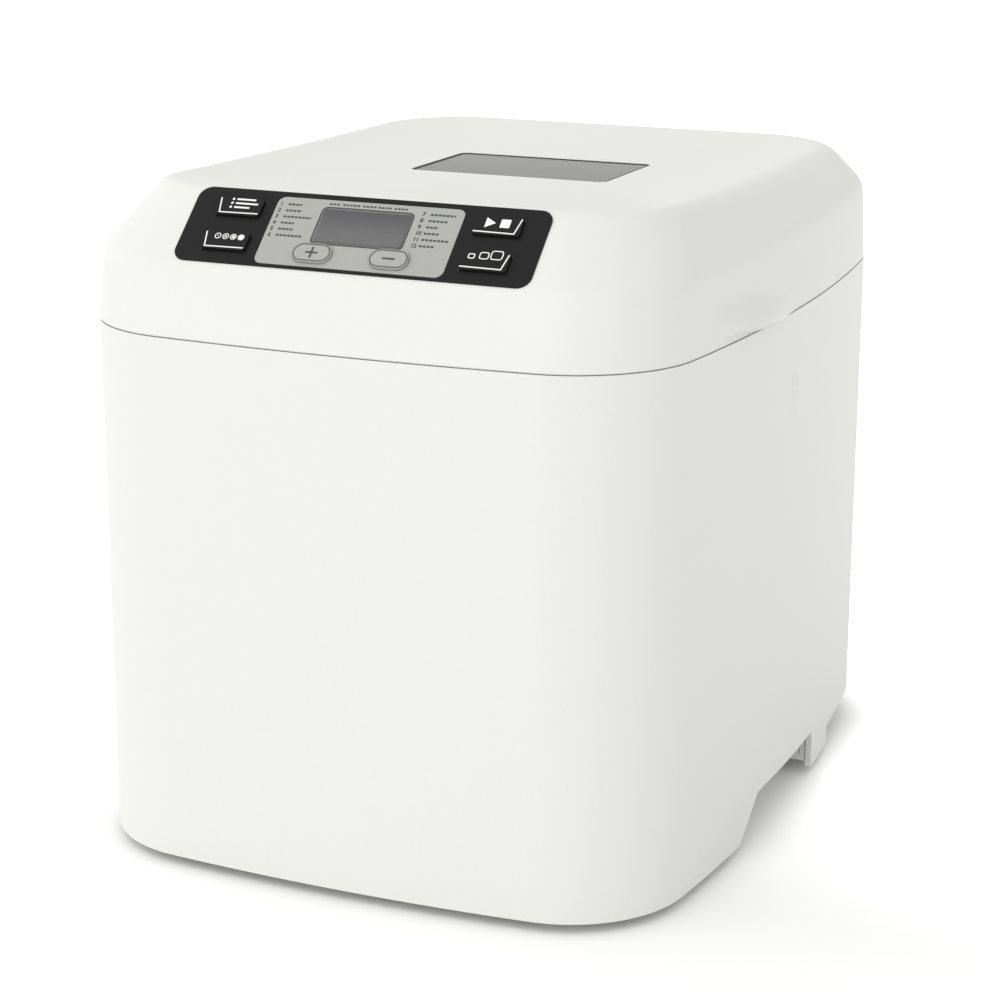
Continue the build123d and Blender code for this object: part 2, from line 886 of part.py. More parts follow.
def grooved_pulley(radius, place, rim_depth):
    """Pulley with V grooves, a thin web and a hub bored for the shaft."""
    bore = shaft_radius + close_clearance
    pitch = pulley_width / pulley_grooves
    groove_points = []
    for index in range(pulley_grooves):
        start = index * pitch
        groove_points += [(radius, start + pitch / 4), (radius - pulley_groove, start + pitch / 2)]
        groove_points += [(radius, start + 3 * pitch / 4)]
    points = [(bore, 0), (radius, 0), *groove_points, (radius, pulley_width), (bore, pulley_width)]
    with BuildPart() as pulley:
        with BuildSketch(Plane.XZ):
            with BuildLine():
                Polyline(*points, close=True)
            make_face()
            web_inner = shaft_radius + web
            web_outer = radius - rim_depth
            if web_outer > 2 * web_inner:
                web_height = (pulley_width - web) / 2
                for middle in (web_height / 2, pulley_width - web_height / 2):
                    with Locations(((web_inner + web_outer) / 2, middle)):
                        Rectangle(web_outer - web_inner, web_height, mode=Mode.SUBTRACT)
        revolve(axis=Axis.Z)
    return Pos(*place) * pulley.part


driven_pulley = grooved_pulley(driven_radius, (0, chamber_y, pulley_bottom), pulley_rim)
save(driven_pulley, "driven_pulley")


def belt_hull(grow):
    """Face round both pulleys, grown outwards from their rims by grow."""
    with BuildSketch(Plane.XY.offset(pulley_bottom)) as hull:
        with Locations((0, chamber_y)):
            Circle(driven_radius + grow)
        with Locations((0, motor_y)):
            Circle(driver_radius + grow)
        make_hull()
    return hull.sketch


with BuildPart() as drive_belt:
    extrude(belt_hull(belt_air + belt_thickness), amount=pulley_width, dir=(0, 0, 1))
    extrude(belt_hull(belt_air), amount=pulley_width, dir=(0, 0, 1), mode=Mode.SUBTRACT)
save(drive_belt.part, "drive_belt")

lug_y = wing_width / 2 + wing_air + lug_width / 2
with BuildPart() as drive_coupling:
    with Locations((0, chamber_y, coupling_bottom)):
        Cylinder(coupling_radius, coupling_disc, align=ON_FLOOR)
        Cylinder(shaft_radius + close_clearance, coupling_disc, align=ON_FLOOR, mode=Mode.SUBTRACT)
    for side in SIDES:
        lug_x = side * (coupling_radius - lug_length)
        with Locations((lug_x, chamber_y + side * lug_y, coupling_top)):
            Box(lug_length, lug_width, lug_height + coupling_air, align=ON_FLOOR)
save(drive_coupling.part, "drive_coupling")

# Motor: brackets, laminated core and windings round a rotor on its own shaft
core_bottom = chassis_top + motor_bracket + motor_post
core_top = core_bottom + motor_core
upper_bracket = core_top + motor_post
motor_post_place = motor_half - motor_post_radius - motor_post_inset
motor_posts_at = ring_points(motor_post_place, motor_post_place, motor_y)
with BuildPart() as motor_brackets:
    for plate, posts in ((chassis_top, chassis_top + motor_bracket), (upper_bracket, core_top)):
        with BuildSketch(Plane.XY.offset(plate)):
            with Locations((0, motor_y)):
                RectangleRounded(2 * motor_half, 2 * motor_half, motor_post_radius)
                Circle(shaft_radius + running_clearance, mode=Mode.SUBTRACT)
        extrude(amount=motor_bracket)
        for x, y in motor_posts_at:
            with Locations((x, y, posts)):
                Cylinder(motor_post_radius, motor_post, align=ON_FLOOR)
save(motor_brackets.part, "motor_brackets")

with BuildPart() as motor_stator:
    with BuildSketch(Plane.XY.offset(core_bottom)):
        with Locations((0, motor_y)):
            RectangleRounded(2 * motor_half, 2 * motor_half, motor_post_radius)
            Circle(motor_bore, mode=Mode.SUBTRACT)
    extrude(amount=motor_core)
save(motor_stator.part, "motor_stator")

with BuildPart() as motor_windings:
    for bottom in (core_bottom - winding_height, core_top):
        with BuildSketch(Plane.XY.offset(bottom)):
            with Locations((0, motor_y)):
                Circle(winding_outer)
                Circle(winding_inner, mode=Mode.SUBTRACT)
        extrude(amount=winding_height)
    winding_rims = motor_windings.edges().filter_by(GeomType.CIRCLE)
    fillet(winding_rims.filter_by(lambda rim: rim.radius > winding_inner), winding_round)
save(motor_windings.part, "motor_windings")

with BuildPart() as motor_rotor:
    with Locations((0, motor_y, core_bottom - shaft_end)):
        Cylinder(motor_bore - motor_air, motor_core + 2 * shaft_end, align=ON_FLOOR)
        Cylinder(
            shaft_radius + close_clearance,
            motor_core + 2 * shaft_end,
            align=ON_FLOOR,
            mode=Mode.SUBTRACT,
        )
save(motor_rotor.part, "motor_rotor")

fan_bottom = upper_bracket + motor_bracket + fan_lift
with BuildPart() as motor_shaft:
    with Locations((0, motor_y, pulley_bottom - shaft_end)):
        Cylinder(
            shaft_radius, fan_bottom + fan_height - pulley_bottom + 2 * shaft_end, align=ON_FLOOR
        )
save(motor_shaft.part, "motor_shaft")

motor_pulley = grooved_pulley(driver_radius, (0, motor_y, pulley_bottom), pulley_groove)
save(motor_pulley, "motor_pulley")

with BuildPart() as motor_fan:
    with Locations((0, motor_y, fan_bottom)):
        Cylinder(hub_radius, fan_height, align=ON_FLOOR)
        Cylinder(fan_radius, fan_blade, align=ON_FLOOR)
    with Locations((0, motor_y, fan_bottom)):
        with PolarLocations(0, fan_blades):
            Box(fan_radius, fan_blade, fan_height, align=(Align.MIN, Align.CENTER, Align.MIN))
    with Locations((0, motor_y, fan_bottom)):
        Cylinder(
            shaft_radius + close_clearance, fan_height, align=ON_FLOOR, mode=Mode.SUBTRACT
        )
save(motor_fan.part, "motor_fan")

with BuildPart() as run_capacitor:
    with Locations((capacitor_x, motor_y, chassis_top)):
        Cylinder(capacitor_radius, capacitor_height, align=ON_FLOOR)
    fillet(run_capacitor.edges().group_by(Axis.Z)[-1], capacitor_edge)
    for side in SIDES:
        tag_x = capacitor_x + side * tag_spacing / 2
        with Locations((tag_x, motor_y, chassis_top + capacitor_height)):
            Box(tag_width, tag_sheet, tag_height, align=ON_FLOOR)
save(run_capacitor.part, "run_capacitor")

power_board_z = chassis_top + board_standoff
with BuildPart() as power_board:
    with Locations((power_board_x, motor_y, power_board_z)):
        Box(power_board_width, power_board_depth, board_sheet, align=ON_FLOOR)
    parts_z = power_board_z + board_sheet
    with Locations((power_board_x - relay_offset, motor_y + relay_offset, parts_z)):
        Box(relay_width, relay_depth, relay_height, align=ON_FLOOR)
    with Locations((power_board_x + relay_offset, motor_y + relay_offset, parts_z)):
        Cylinder(coil_radius, coil_height, align=ON_FLOOR)
    with Locations((power_board_x, motor_y - socket_offset, parts_z)):
        Box(socket_width, socket_depth, socket_height, align=ON_FLOOR)
save(power_board.part, "power_board")

# Cord inlet: a grommet that fills the slot above the base pan's skirt
inlet_wall_y = half_depth - bottom_taper - wall - end_bow
inlet_half = inlet_radius - seat_gap
with BuildPart() as cord_inlet:
    with Locations((inlet_x, inlet_wall_y, foot_height + skirt_height + seat_gap)):
        Box(
            2 * inlet_half,
            inlet_length,
            inlet_height + inlet_half - foot_height - skirt_height - seat_gap,
            align=(Align.CENTER, Align.MIN, Align.MIN),
        )
    with Locations((inlet_x, inlet_wall_y, inlet_height)):
        Cylinder(inlet_flange, inlet_flange_thickness, rotation=(90, 0, 0), align=ON_FLOOR)
        Cylinder(inlet_bore, 4 * inlet_length, rotation=(90, 0, 0), mode=Mode.SUBTRACT)
save(cord_inlet.part, "cord_inlet")

# Bread pan with its base ring, shaft, coupling, handle and paddle
def pan_outline(z, inset):
    """Rounded rectangle of the tapered pan wall at height z, moved inwards by inset."""
    lean = pan_draft * (pan_top - z) / pan_height
    with BuildSketch(Plane.XY.offset(z)) as rectangle:
        with Locations((0, chamber_y)):
            RectangleRounded(
                2 * (pan_half_width - lean - inset),
                2 * (pan_half_depth - lean - inset),
                pan_round - inset,
            )
    return rectangle.sketch


with BuildPart() as bread_pan:
    loft([pan_outline(pan_bottom, 0), pan_outline(pan_top, 0)], ruled=True)
    extrude(pan_outline(pan_top, -pan_rim), amount=pan_rim_height, dir=(0, 0, -1))
    fillet(bread_pan.edges().group_by(Axis.Z)[0], 2 * pan_rim)
    loft(
        [pan_outline(pan_bottom + pan_sheet, pan_sheet), pan_outline(pan_top, pan_sheet)],
        ruled=True,
        mode=Mode.SUBTRACT,
    )
    with Locations((0, chamber_y, pan_bottom)):
        Cylinder(shaft_radius + pan_sheet, 2 * pan_sheet, mode=Mode.SUBTRACT)
    with Locations((0, chamber_y, handle_pivot)):
        Cylinder(ear_radius + close_clearance, body_width, rotation=(0, 90, 0), mode=Mode.SUBTRACT)
save(bread_pan.part, "bread_pan")

with BuildPart() as pan_base:
    with Locations((0, chamber_y, chamber_floor)):
        Cylinder(pan_base_radius, pan_base_height, align=ON_FLOOR)
        Cylinder(
            pan_base_radius - pan_base_wall,
            pan_base_height - pan_base_wall,
            align=ON_FLOOR,
            mode=Mode.SUBTRACT,
        )
    with Locations((0, chamber_y, pan_bottom)):
        Cylinder(pan_hub_radius, pan_hub_height, align=HANGING)
        Cylinder(
            pan_hub_radius - pan_base_wall, pan_hub_height, align=HANGING, mode=Mode.SUBTRACT
        )
save(pan_base.part, "pan_base")

with BuildPart() as pan_bush:
    with Locations((0, chamber_y, pan_bottom)):
        Cylinder(pan_hub_radius - pan_base_wall - close_clearance, pan_hub_height, align=HANGING)
        Cylinder(
            shaft_radius + running_clearance, pan_hub_height, align=HANGING, mode=Mode.SUBTRACT
        )
save(pan_bush.part, "pan_bush")

pan_wall_lean = pan_draft * (pan_top - handle_pivot) / pan_height
ear_start = pan_half_width - pan_wall_lean - pan_sheet - ear_head_thickness - seat_gap
ear_end = handle_x + handle_wire + seat_gap
with BuildPart() as pan_ears:
    for side in SIDES:
        turn = (0, 90 * side, 0)
        with Locations((side * ear_start, chamber_y, handle_pivot)):
            Cylinder(ear_radius, ear_end - ear_start, rotation=turn, align=ON_FLOOR)
            Cylinder(ear_head, ear_head_thickness, rotation=turn, align=ON_FLOOR)
        with Locations((side * ear_end, chamber_y, handle_pivot)):
            Cylinder(ear_head, ear_head_thickness, rotation=turn, align=ON_FLOOR)
save(pan_ears.part, "pan_ears")

handle_y = chamber_y - handle_reach
with BuildPart() as pan_handle:
    with BuildLine() as handle_path:
        FilletPolyline(
            (-handle_x, chamber_y - ear_radius - handle_wire, handle_pivot),
            (-handle_x, handle_y, handle_pivot),
            (handle_x, handle_y, handle_pivot),
            (handle_x, chamber_y - ear_radius - handle_wire, handle_pivot),
            radius=handle_bend,
        )
    with BuildSketch(handle_path.line ^ 0):
        Circle(handle_wire)
    sweep(path=handle_path.wire())
    for side in SIDES:
        with Locations((side * handle_x, chamber_y, handle_pivot)):
            Cylinder(eye_radius, 2 * handle_wire, rotation=(0, 90, 0))
    with Locations((0, chamber_y, handle_pivot)):
        Cylinder(
            ear_radius + running_clearance, body_width, rotation=(0, 90, 0), mode=Mode.SUBTRACT
        )
save(pan_handle.part, "pan_handle")

wing_bottom = coupling_top + coupling_air
shaft_top = pan_bottom + pan_sheet + pan_shaft_top
with BuildPart() as pan_shaft:
    with Locations((0, chamber_y, wing_bottom)):
        Cylinder(shaft_radius, shaft_top - wing_bottom, align=ON_FLOOR)
    with Locations((paddle_flat, chamber_y, shaft_top)):
        Box(
            shaft_radius,
            2 * shaft_radius,
            pan_shaft_top - paddle_air,
            align=(Align.MIN, Align.CENTER, Align.MAX),
            mode=Mode.SUBTRACT,
        )
save(pan_shaft.part, "pan_shaft")

with BuildPart() as wing_coupling:
    with Locations((0, chamber_y, wing_bottom)):
        Cylinder(shaft_radius + wing_width / 2, lug_height, align=ON_FLOOR)
        Box(wing_length, wing_width, lug_height, align=ON_FLOOR)
        Cylinder(
            shaft_radius + close_clearance, lug_height, align=ON_FLOOR, mode=Mode.SUBTRACT
        )
save(wing_coupling.part, "wing_coupling")

paddle_bottom = pan_bottom + pan_sheet + paddle_air
with BuildPart() as kneading_paddle:
    with Locations((0, chamber_y, paddle_bottom)):
        Cone(paddle_hub, paddle_hub - paddle_blade / 2, paddle_height, align=ON_FLOOR)
    with BuildSketch(Plane.XZ.offset(-chamber_y)):
        with BuildLine():
            blade_start = (0, paddle_bottom)
            blade_low = (paddle_reach, paddle_bottom)
            blade_tip = (paddle_reach, paddle_bottom + paddle_tip)
            blade_high = (0, paddle_bottom + paddle_height)
            Line(blade_start, blade_low)
            Line(blade_low, blade_tip)
            bulge = (paddle_reach / 2, paddle_bottom + paddle_shoulder)
            ThreePointArc(blade_tip, bulge, blade_high)
            Line(blade_high, blade_start)
        make_face()
    extrude(amount=paddle_blade / 2, both=True)
    with BuildSketch(Plane.XY.offset(paddle_bottom)):
        with Locations((0, chamber_y)):
            Circle(shaft_radius + running_clearance)
        with Locations((paddle_flat + running_clearance, chamber_y)):
            Rectangle(
                shaft_radius,
                3 * shaft_radius,
                align=(Align.MIN, Align.CENTER),
                mode=Mode.SUBTRACT,
            )
    extrude(amount=pan_shaft_top, mode=Mode.SUBTRACT)
save(kneading_paddle.part, "kneading_paddle")

# Lid shell: leaning wall, front slope and nearly flat top, open underneath
crest_wall = wall * tan(slope_angle / 2)
liner_top = liner_bottom + liner_sheet
liner_screws_at = [
    (side * (half_width - liner_boss_inset), y)
    for side in SIDES
    for y in (liner_boss_front - half_depth, half_depth - liner_boss_back)
]
board_post_places = ring_points(board_post_x, board_post_y, 0)
window_plane = Plane((0, window_y, window_height))
dish_radius = top_length**2 / (8 * side_dip) + side_dip / 2


def slope_block(width, height, round_over, start, end, x=0, y=0):
    """Rounded block on the front slope, from depth start to depth end measured outwards."""
    with BuildPart() as block:
        with BuildSketch(slope_plane.offset(start)):
            with Locations((x, y)):
                RectangleRounded(width, height, round_over)
        extrude(amount=end - start)
    return block.part


def lid_dish(drop):
    """Body taken out of the lid top: a dip from side to side and a funnel down to the window."""
    with BuildPart() as dish:
        with Locations(top_plane.offset(dish_radius - side_dip - drop).origin):
            Cylinder(dish_radius, body_width, rotation=(0, 90, 0))
        rim_plane = top_plane.offset(side_dip - drop)
        mouth = outline(
            rim_plane,
            half_width - top_side_inset - dish_margin,
            top_length / 2 - dish_margin,
            top_radius - dish_margin,
            0,
            0,
        )
        floor = outline(
            window_plane.offset(-drop), dish_floor_width / 2, dish_floor_depth / 2, dish_floor_round, 0, 0
        )
        loft([mouth, floor], ruled=True)
    return dish.part


with BuildPart() as lid_hollow:
    inner_rim, inner_crease, inner_top = lid_outlines(wall, crest_wall, wall)
    loft([inner_rim, inner_crease], ruled=True)
    loft([inner_crease, inner_top], ruled=True)
    extrude(inner_rim, amount=lid_gap, dir=(0, 0, -1))
    add(lid_dish(wall), mode=Mode.SUBTRACT)
    with Locations((0, notch_y - wall, 0)):
        Box(
            2 * (notch_half + wall),
            half_depth,
            2 * crest_z,
            align=(Align.CENTER, Align.MIN, Align.CENTER),
            mode=Mode.SUBTRACT,
        )
    for x, y in liner_screws_at:
        with Locations((x, y, liner_top)):
            Cylinder(liner_boss_radius, crest_z, align=ON_FLOOR, mode=Mode.SUBTRACT)
    for x, y in board_post_places:
        with BuildSketch(slope_plane.offset(-control_board_depth)):
            with Locations((x, y)):
                Circle(board_post_radius)
        extrude(amount=control_board_depth, mode=Mode.SUBTRACT)

with BuildPart() as lid_shell:
    outer_rim, outer_crease, outer_top = lid_outlines(0, 0, 0)
    loft([outer_rim, outer_crease], ruled=True)
    loft([outer_crease, outer_top], ruled=True)
    level_edges = lid_shell.edges().filter_by(
        lambda edge: abs(edge.end_point().Z - edge.start_point().Z) < slope_rise / 2
    )
    rim_end = lid_bottom + crease_front_height / 2
    crease_edges = level_edges.filter_by(lambda edge: edge.center().Z > rim_end)
    fillet(crease_edges, crease_fillet)
    add(lid_dish(0), mode=Mode.SUBTRACT)
    # Finger lips low on both sides
    for side in SIDES:
        with BuildSketch(Plane.XY.offset(lid_bottom)):
            with BuildLine():
                root = side * (half_width - side_bow)
                start = (root, lip_middle - lip_length / 2)
                end = (root, lip_middle + lip_length / 2)
                ThreePointArc(start, (side * (half_width + lip_reach), lip_middle), end)
                Line(end, start)
            make_face()
        extrude(amount=lip_height)
    with Locations((0, notch_y, 0)):
        Box(
            2 * notch_half,
            half_depth,
            2 * crest_z,
            align=(Align.CENTER, Align.MIN, Align.CENTER),
            mode=Mode.SUBTRACT,
        )
    add(lid_hollow.part, mode=Mode.SUBTRACT)
    # Hinge knuckles
    for side in SIDES:
        with Locations((side * lid_knuckle_x, notch_y - wall / 2, hinge_z + lid_gap / 2)):
            Box(
                hinge_knuckle,
                hinge_y - notch_y + wall / 2,
                hinge_barrel - lid_gap / 2,
                align=(Align.CENTER, Align.MIN, Align.MIN),
            )
        with Locations((side * lid_knuckle_x, hinge_y, hinge_z)):
            Cylinder(hinge_barrel, hinge_knuckle, rotation=(0, 90, 0))
    with Locations((0, hinge_y, hinge_z)):
        Cylinder(
            hinge_pin_radius + running_clearance,
            2 * notch_half,
            rotation=(0, 90, 0),
            mode=Mode.SUBTRACT,
        )
    for x, y in liner_screws_at:
        with Locations((x, y, liner_top)):
            Cylinder(
                liner_screw_radius + close_clearance,
                liner_screw_grip,
                align=ON_FLOOR,
                mode=Mode.SUBTRACT,
            )
    # Window: a recess with a ledge round the opening
    with BuildSketch(window_plane):
        RectangleRounded(window_width, window_depth, window_round)
    extrude(amount=-window_recess, mode=Mode.SUBTRACT)
    with BuildSketch(window_plane):
        RectangleRounded(window_width - 2 * window_ledge, window_depth - 2 * window_ledge, window_round)
    extrude(amount=-2 * wall, mode=Mode.SUBTRACT)
    # Panel recess, with openings behind the display and both pairs of keys
    add(
        slope_block(
            panel_width + 2 * panel_air,
            panel_height + 2 * panel_air,
            panel_round + panel_air,
            -panel_sink,
            wall,
        ),
        mode=Mode.SUBTRACT,
    )
    pair_height = key_upper - key_lower + key_height + 2 * (key_lip_y + key_opening_margin)
    pair_width = key_width + 2 * (key_lip_x + key_opening_margin)
    for x in (-key_x, key_x):
        add(
            slope_block(
                pair_width, pair_height, key_round, -2 * wall, wall, x, (key_upper + key_lower) / 2
            ),
            mode=Mode.SUBTRACT,
        )
    add(
        slope_block(
            plate_width - 2 * plate_ledge,
            plate_height - 2 * plate_seat,
            key_round,
            -2 * wall,
            wall,
            0,
            -plate_drop,
        ),
        mode=Mode.SUBTRACT,
    )
save(lid_shell.part, "lid_shell")

with BuildPart() as hinge_pin:
    with Locations((0, hinge_y, hinge_z)):
        Cylinder(
            hinge_pin_radius,
            2 * body_knuckle_x + hinge_knuckle + 2 * pin_overhang,
            rotation=(0, 90, 0),
        )
save(hinge_pin.part, "hinge_pin")


# Lid inside: a pressed liner with a dome over the pan, its seal and the two window panes
def dome_outline(z, grow):
    """Rounded rectangle of the dome's inner wall at height z, grown outwards by grow."""
    with BuildSketch(Plane.XY.offset(z)) as rectangle:
        with Locations((0, chamber_y)):
            RectangleRounded(
                2 * (dome_half_width + grow), 2 * (dome_half_depth + grow), dome_round + grow
            )
    return rectangle.sketch


liner_rim = outline(
    Plane.XY.offset(liner_bottom),
    half_width - wall - 2 * seat_gap,
    half_depth - wall - 2 * seat_gap,
    corner_radius - wall - 2 * seat_gap,
    side_bow,
    end_bow,
)
roof_opening_x = inner_pane_width - 2 * inner_pane_lap
roof_opening_y = inner_pane_depth - 2 * inner_pane_lap
with BuildPart() as dome_hollow:
    extrude(dome_outline(liner_bottom, 0), amount=dome_roof - liner_bottom, dir=(0, 0, 1))
    fillet(dome_hollow.edges().group_by(Axis.Z)[-1], dome_edge)

with BuildPart() as lid_liner:
    extrude(liner_rim, amount=liner_sheet, dir=(0, 0, 1))
    with Locations((0, notch_y - wall - seat_gap, liner_bottom)):
        Box(
            2 * (notch_half + wall + seat_gap),
            half_depth,
            wall,
            align=(Align.CENTER, Align.MIN, Align.CENTER),
            mode=Mode.SUBTRACT,
        )
    extrude(
        dome_outline(liner_bottom, liner_sheet),
        amount=dome_roof + liner_sheet - liner_bottom,
        dir=(0, 0, 1),
    )
    fillet(lid_liner.edges().group_by(Axis.Z)[-1], dome_edge + liner_sheet)
    add(dome_hollow.part, mode=Mode.SUBTRACT)
    with Locations((0, window_y, dome_roof)):
        Box(roof_opening_x, roof_opening_y, 4 * liner_sheet, mode=Mode.SUBTRACT)
    for x, y in liner_screws_at:
        with Locations((x, y, liner_bottom)):
            Cylinder(
                liner_screw_radius + running_clearance,
                liner_sheet,
                align=ON_FLOOR,
                mode=Mode.SUBTRACT,
            )
save(lid_liner.part, "lid_liner")

liner_screws = screw_set(
    liner_screws_at,
    liner_bottom,
    liner_screw_radius,
    liner_screw_head,
    liner_screw_head_height,
    liner_screw_grip,
    True,
)
save(liner_screws, "liner_screws")

seal_outer = chamber_flange - seal_inset
with BuildPart() as lid_seal:
    seal_height = liner_bottom - flange_top - seal_air
    extrude(chamber_square(liner_bottom, seal_outer), amount=seal_height, dir=(0, 0, -1))
    extrude(
        chamber_square(liner_bottom, seal_outer - seal_width),
        amount=seal_height,
        dir=(0, 0, -1),
        mode=Mode.SUBTRACT,
    )
save(lid_seal.part, "lid_seal")

pane_thickness = window_recess - window_sink
with BuildPart() as window_gasket:
    with BuildSketch(window_plane.offset(-window_recess)):
        RectangleRounded(
            window_width - 2 * close_clearance, window_depth - 2 * close_clearance, window_round
        )
        RectangleRounded(
            window_width - 2 * gasket_width,
            window_depth - 2 * gasket_width,
            window_round - gasket_width,
            mode=Mode.SUBTRACT,
        )
    extrude(amount=window_recess)
save(window_gasket.part, "window_gasket")

with BuildPart() as window_pane:
    pane_inset = 2 * (gasket_width + close_clearance)
    with BuildSketch(window_plane.offset(-window_recess)):
        RectangleRounded(
            window_width - pane_inset, window_depth - pane_inset, window_round - gasket_width
        )
    extrude(amount=pane_thickness)
save(window_pane.part, "window_pane")

with BuildPart() as inner_pane:
    with BuildSketch(Plane.XY.offset(dome_roof + liner_sheet)):
        with Locations((0, window_y)):
            RectangleRounded(inner_pane_width, inner_pane_depth, inner_pane_lap)
    extrude(amount=inner_pane_thickness)
save(inner_pane.part, "inner_pane")

# Control panel on the front slope
panel_top = panel_thickness - panel_sink
key_places = {
    "menu_key": (-key_x, key_upper),
    "crust_key": (-key_x, key_lower),
    "start_key": (key_x, key_upper),
    "size_key": (key_x, key_lower),
}
oval_places = {"plus_key": (-oval_x, -oval_drop), "minus_key": (oval_x, -oval_drop)}

with BuildPart() as fascia_panel:
    add(slope_block(panel_width, panel_height, panel_round, -panel_sink, panel_top))
    add(
        slope_block(
            plate_width + 2 * panel_air,
            plate_height + 2 * panel_air,
            plate_round + panel_air,
            -wall,
            wall,
            0,
            -plate_drop,
        ),
        mode=Mode.SUBTRACT,
    )
    for x, y in key_places.values():
        add(
            slope_block(
                key_width + 2 * key_air, key_height + 2 * key_air, key_round + key_air, -wall, wall, x, y
            ),
            mode=Mode.SUBTRACT,
        )
save(fascia_panel.part, "fascia_panel")

with BuildPart() as display_plate:
    add(
        slope_block(
            plate_width, plate_height, plate_round, -panel_sink, panel_top, 0, -plate_drop
        )
    )
    add(
        slope_block(
            lens_width + 2 * key_air,
            lens_height + 2 * key_air,
            key_round + key_air,
            -wall,
            wall,
            0,
            lens_rise,
        ),
        mode=Mode.SUBTRACT,
    )
    for x, y in oval_places.values():
        with BuildSketch(slope_plane.offset(-wall)):
            with Locations((x, y)):
                SlotOverall(oval_width + 2 * key_air, oval_height + 2 * key_air)
        extrude(amount=2 * wall, mode=Mode.SUBTRACT)
save(display_plate.part, "display_plate")

lcd_lens = slope_block(
    lens_width, lens_height, key_round, -panel_sink, panel_top + lens_proud, 0, lens_rise
)
save(lcd_lens, "lcd_lens")

lcd_module = slope_block(
    lens_width + 2 * module_margin,
    lens_height + 2 * module_margin,
    key_round,
    -control_board_depth,
    -panel_sink,
    0,
    lens_rise,
)
save(lcd_module, "lcd_module")

control_board = slope_block(
    control_board_width,
    control_board_height,
    key_round,
    -control_board_depth - board_sheet,
    -control_board_depth,
)
save(control_board, "control_board")

plunger_top = -panel_sink - key_lip_thickness - plunger_air
with BuildPart() as key_switches:
    for x, y in [*key_places.values(), *oval_places.values()]:
        with BuildSketch(slope_plane.offset(-control_board_depth)):
            with Locations((x, y)):
                Rectangle(switch_size, switch_size)
        extrude(amount=switch_height)
        with BuildSketch(slope_plane.offset(-control_board_depth)):
            with Locations((x, y)):
                Circle(plunger_radius)
        extrude(amount=plunger_top + control_board_depth)
save(key_switches.part, "key_switches")

key_top = panel_top + key_proud
for name, (x, y) in key_places.items():
    with BuildPart() as key:
        add(slope_block(key_width, key_height, key_round, -panel_sink, key_top, x, y))
        add(
            slope_block(
                key_width + 2 * key_lip_x,
                key_height + 2 * key_lip_y,
                key_round,
                -panel_sink - key_lip_thickness,
                -panel_sink,
                x,
                y,
            )
        )
    save(key.part, name)

for name, (x, y) in oval_places.items():
    with BuildPart() as oval:
        with BuildSketch(slope_plane.offset(-panel_sink)):
            with Locations((x, y)):
                SlotOverall(oval_width, oval_height)
        extrude(amount=key_top + panel_sink)
        with BuildSketch(slope_plane.offset(-panel_sink - key_lip_thickness)):
            with Locations((x, y)):
                SlotOverall(oval_width + 2 * key_lip_x, oval_height + 2 * key_lip_y)
        extrude(amount=key_lip_thickness)
    save(oval.part, name)
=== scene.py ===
"""Looks of a bread machine: a smooth lid, panel print, finishes, stage and camera round the CAD frame.

All sizes are in millimetres and turn into metres as meshes are made. X points right, Y back and Z up.
"""

import json
import logging
from collections.abc import Sequence
from dataclasses import dataclass, field
from enum import Enum
from math import atan2, cos, hypot, pi, radians, sin

import bmesh
import bpy
import numpy as np
from mathutils import Matrix, Vector


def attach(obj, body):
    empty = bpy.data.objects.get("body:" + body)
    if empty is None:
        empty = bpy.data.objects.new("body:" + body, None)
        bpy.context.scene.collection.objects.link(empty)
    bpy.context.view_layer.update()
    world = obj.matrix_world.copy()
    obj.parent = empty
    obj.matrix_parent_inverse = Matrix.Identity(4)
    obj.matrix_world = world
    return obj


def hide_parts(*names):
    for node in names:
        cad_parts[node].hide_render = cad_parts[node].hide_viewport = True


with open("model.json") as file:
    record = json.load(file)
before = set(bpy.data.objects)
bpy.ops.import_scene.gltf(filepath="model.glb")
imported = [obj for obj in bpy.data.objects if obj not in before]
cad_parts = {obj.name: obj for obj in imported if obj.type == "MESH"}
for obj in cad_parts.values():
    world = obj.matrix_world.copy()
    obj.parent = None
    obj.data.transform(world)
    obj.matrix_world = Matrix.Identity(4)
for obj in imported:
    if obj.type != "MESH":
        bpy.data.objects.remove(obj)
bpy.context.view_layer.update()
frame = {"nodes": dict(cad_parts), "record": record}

MM = 0.001
LEAST_AREA = 1e-6
SAME_PLACE = 1e-6
PATTERN_DETAIL = 3.0
RAMP_SPREAD = 0.25
LEAST_ROUGHNESS = 0.02
BUMP_STRENGTH = 0.4
COAT_ROUGHNESS = 0.06
NUMBER_WEIGHT = 0.04
NUMBER_STEPS = 3
log = logging.getLogger("bread_machine")

Pair = tuple[float, float]
Triple = tuple[float, float, float]
Inputs = dict[str | int, object]
Object = bpy.types.Object
Outputs = bpy.types.NodeOutputs
Socket = bpy.types.NodeSocket
Tree = bpy.types.NodeTree


def wire(tree: Tree, node: bpy.types.Node, inputs: Inputs) -> Outputs:
    """Link or set the inputs of a node.

    Args:
        tree: Node tree.
        node: Node in the tree.
        inputs: Sockets or plain values, by the name or the place of the input.

    Returns:
        The node's outputs.
    """
    for name, value in inputs.items():
        if isinstance(value, Socket):
            tree.links.new(value, node.inputs[name])
        else:
            node.inputs[name].default_value = value
    return node.outputs


def add_node(tree: Tree, kind: str, inputs: Inputs, **settings: str) -> Outputs:
    """Add a shader node.

    Args:
        tree: Node tree.
        kind: Type of the node, without the words that all shader nodes start with.
        inputs: Sockets or plain values, by the name or the place of the input.
        settings: Other settings of the node.

    Returns:
        The node's outputs.
    """
    node = tree.nodes.new(f"ShaderNode{kind}")
    for name, value in settings.items():
        setattr(node, name, value)
    return wire(tree, node, inputs)


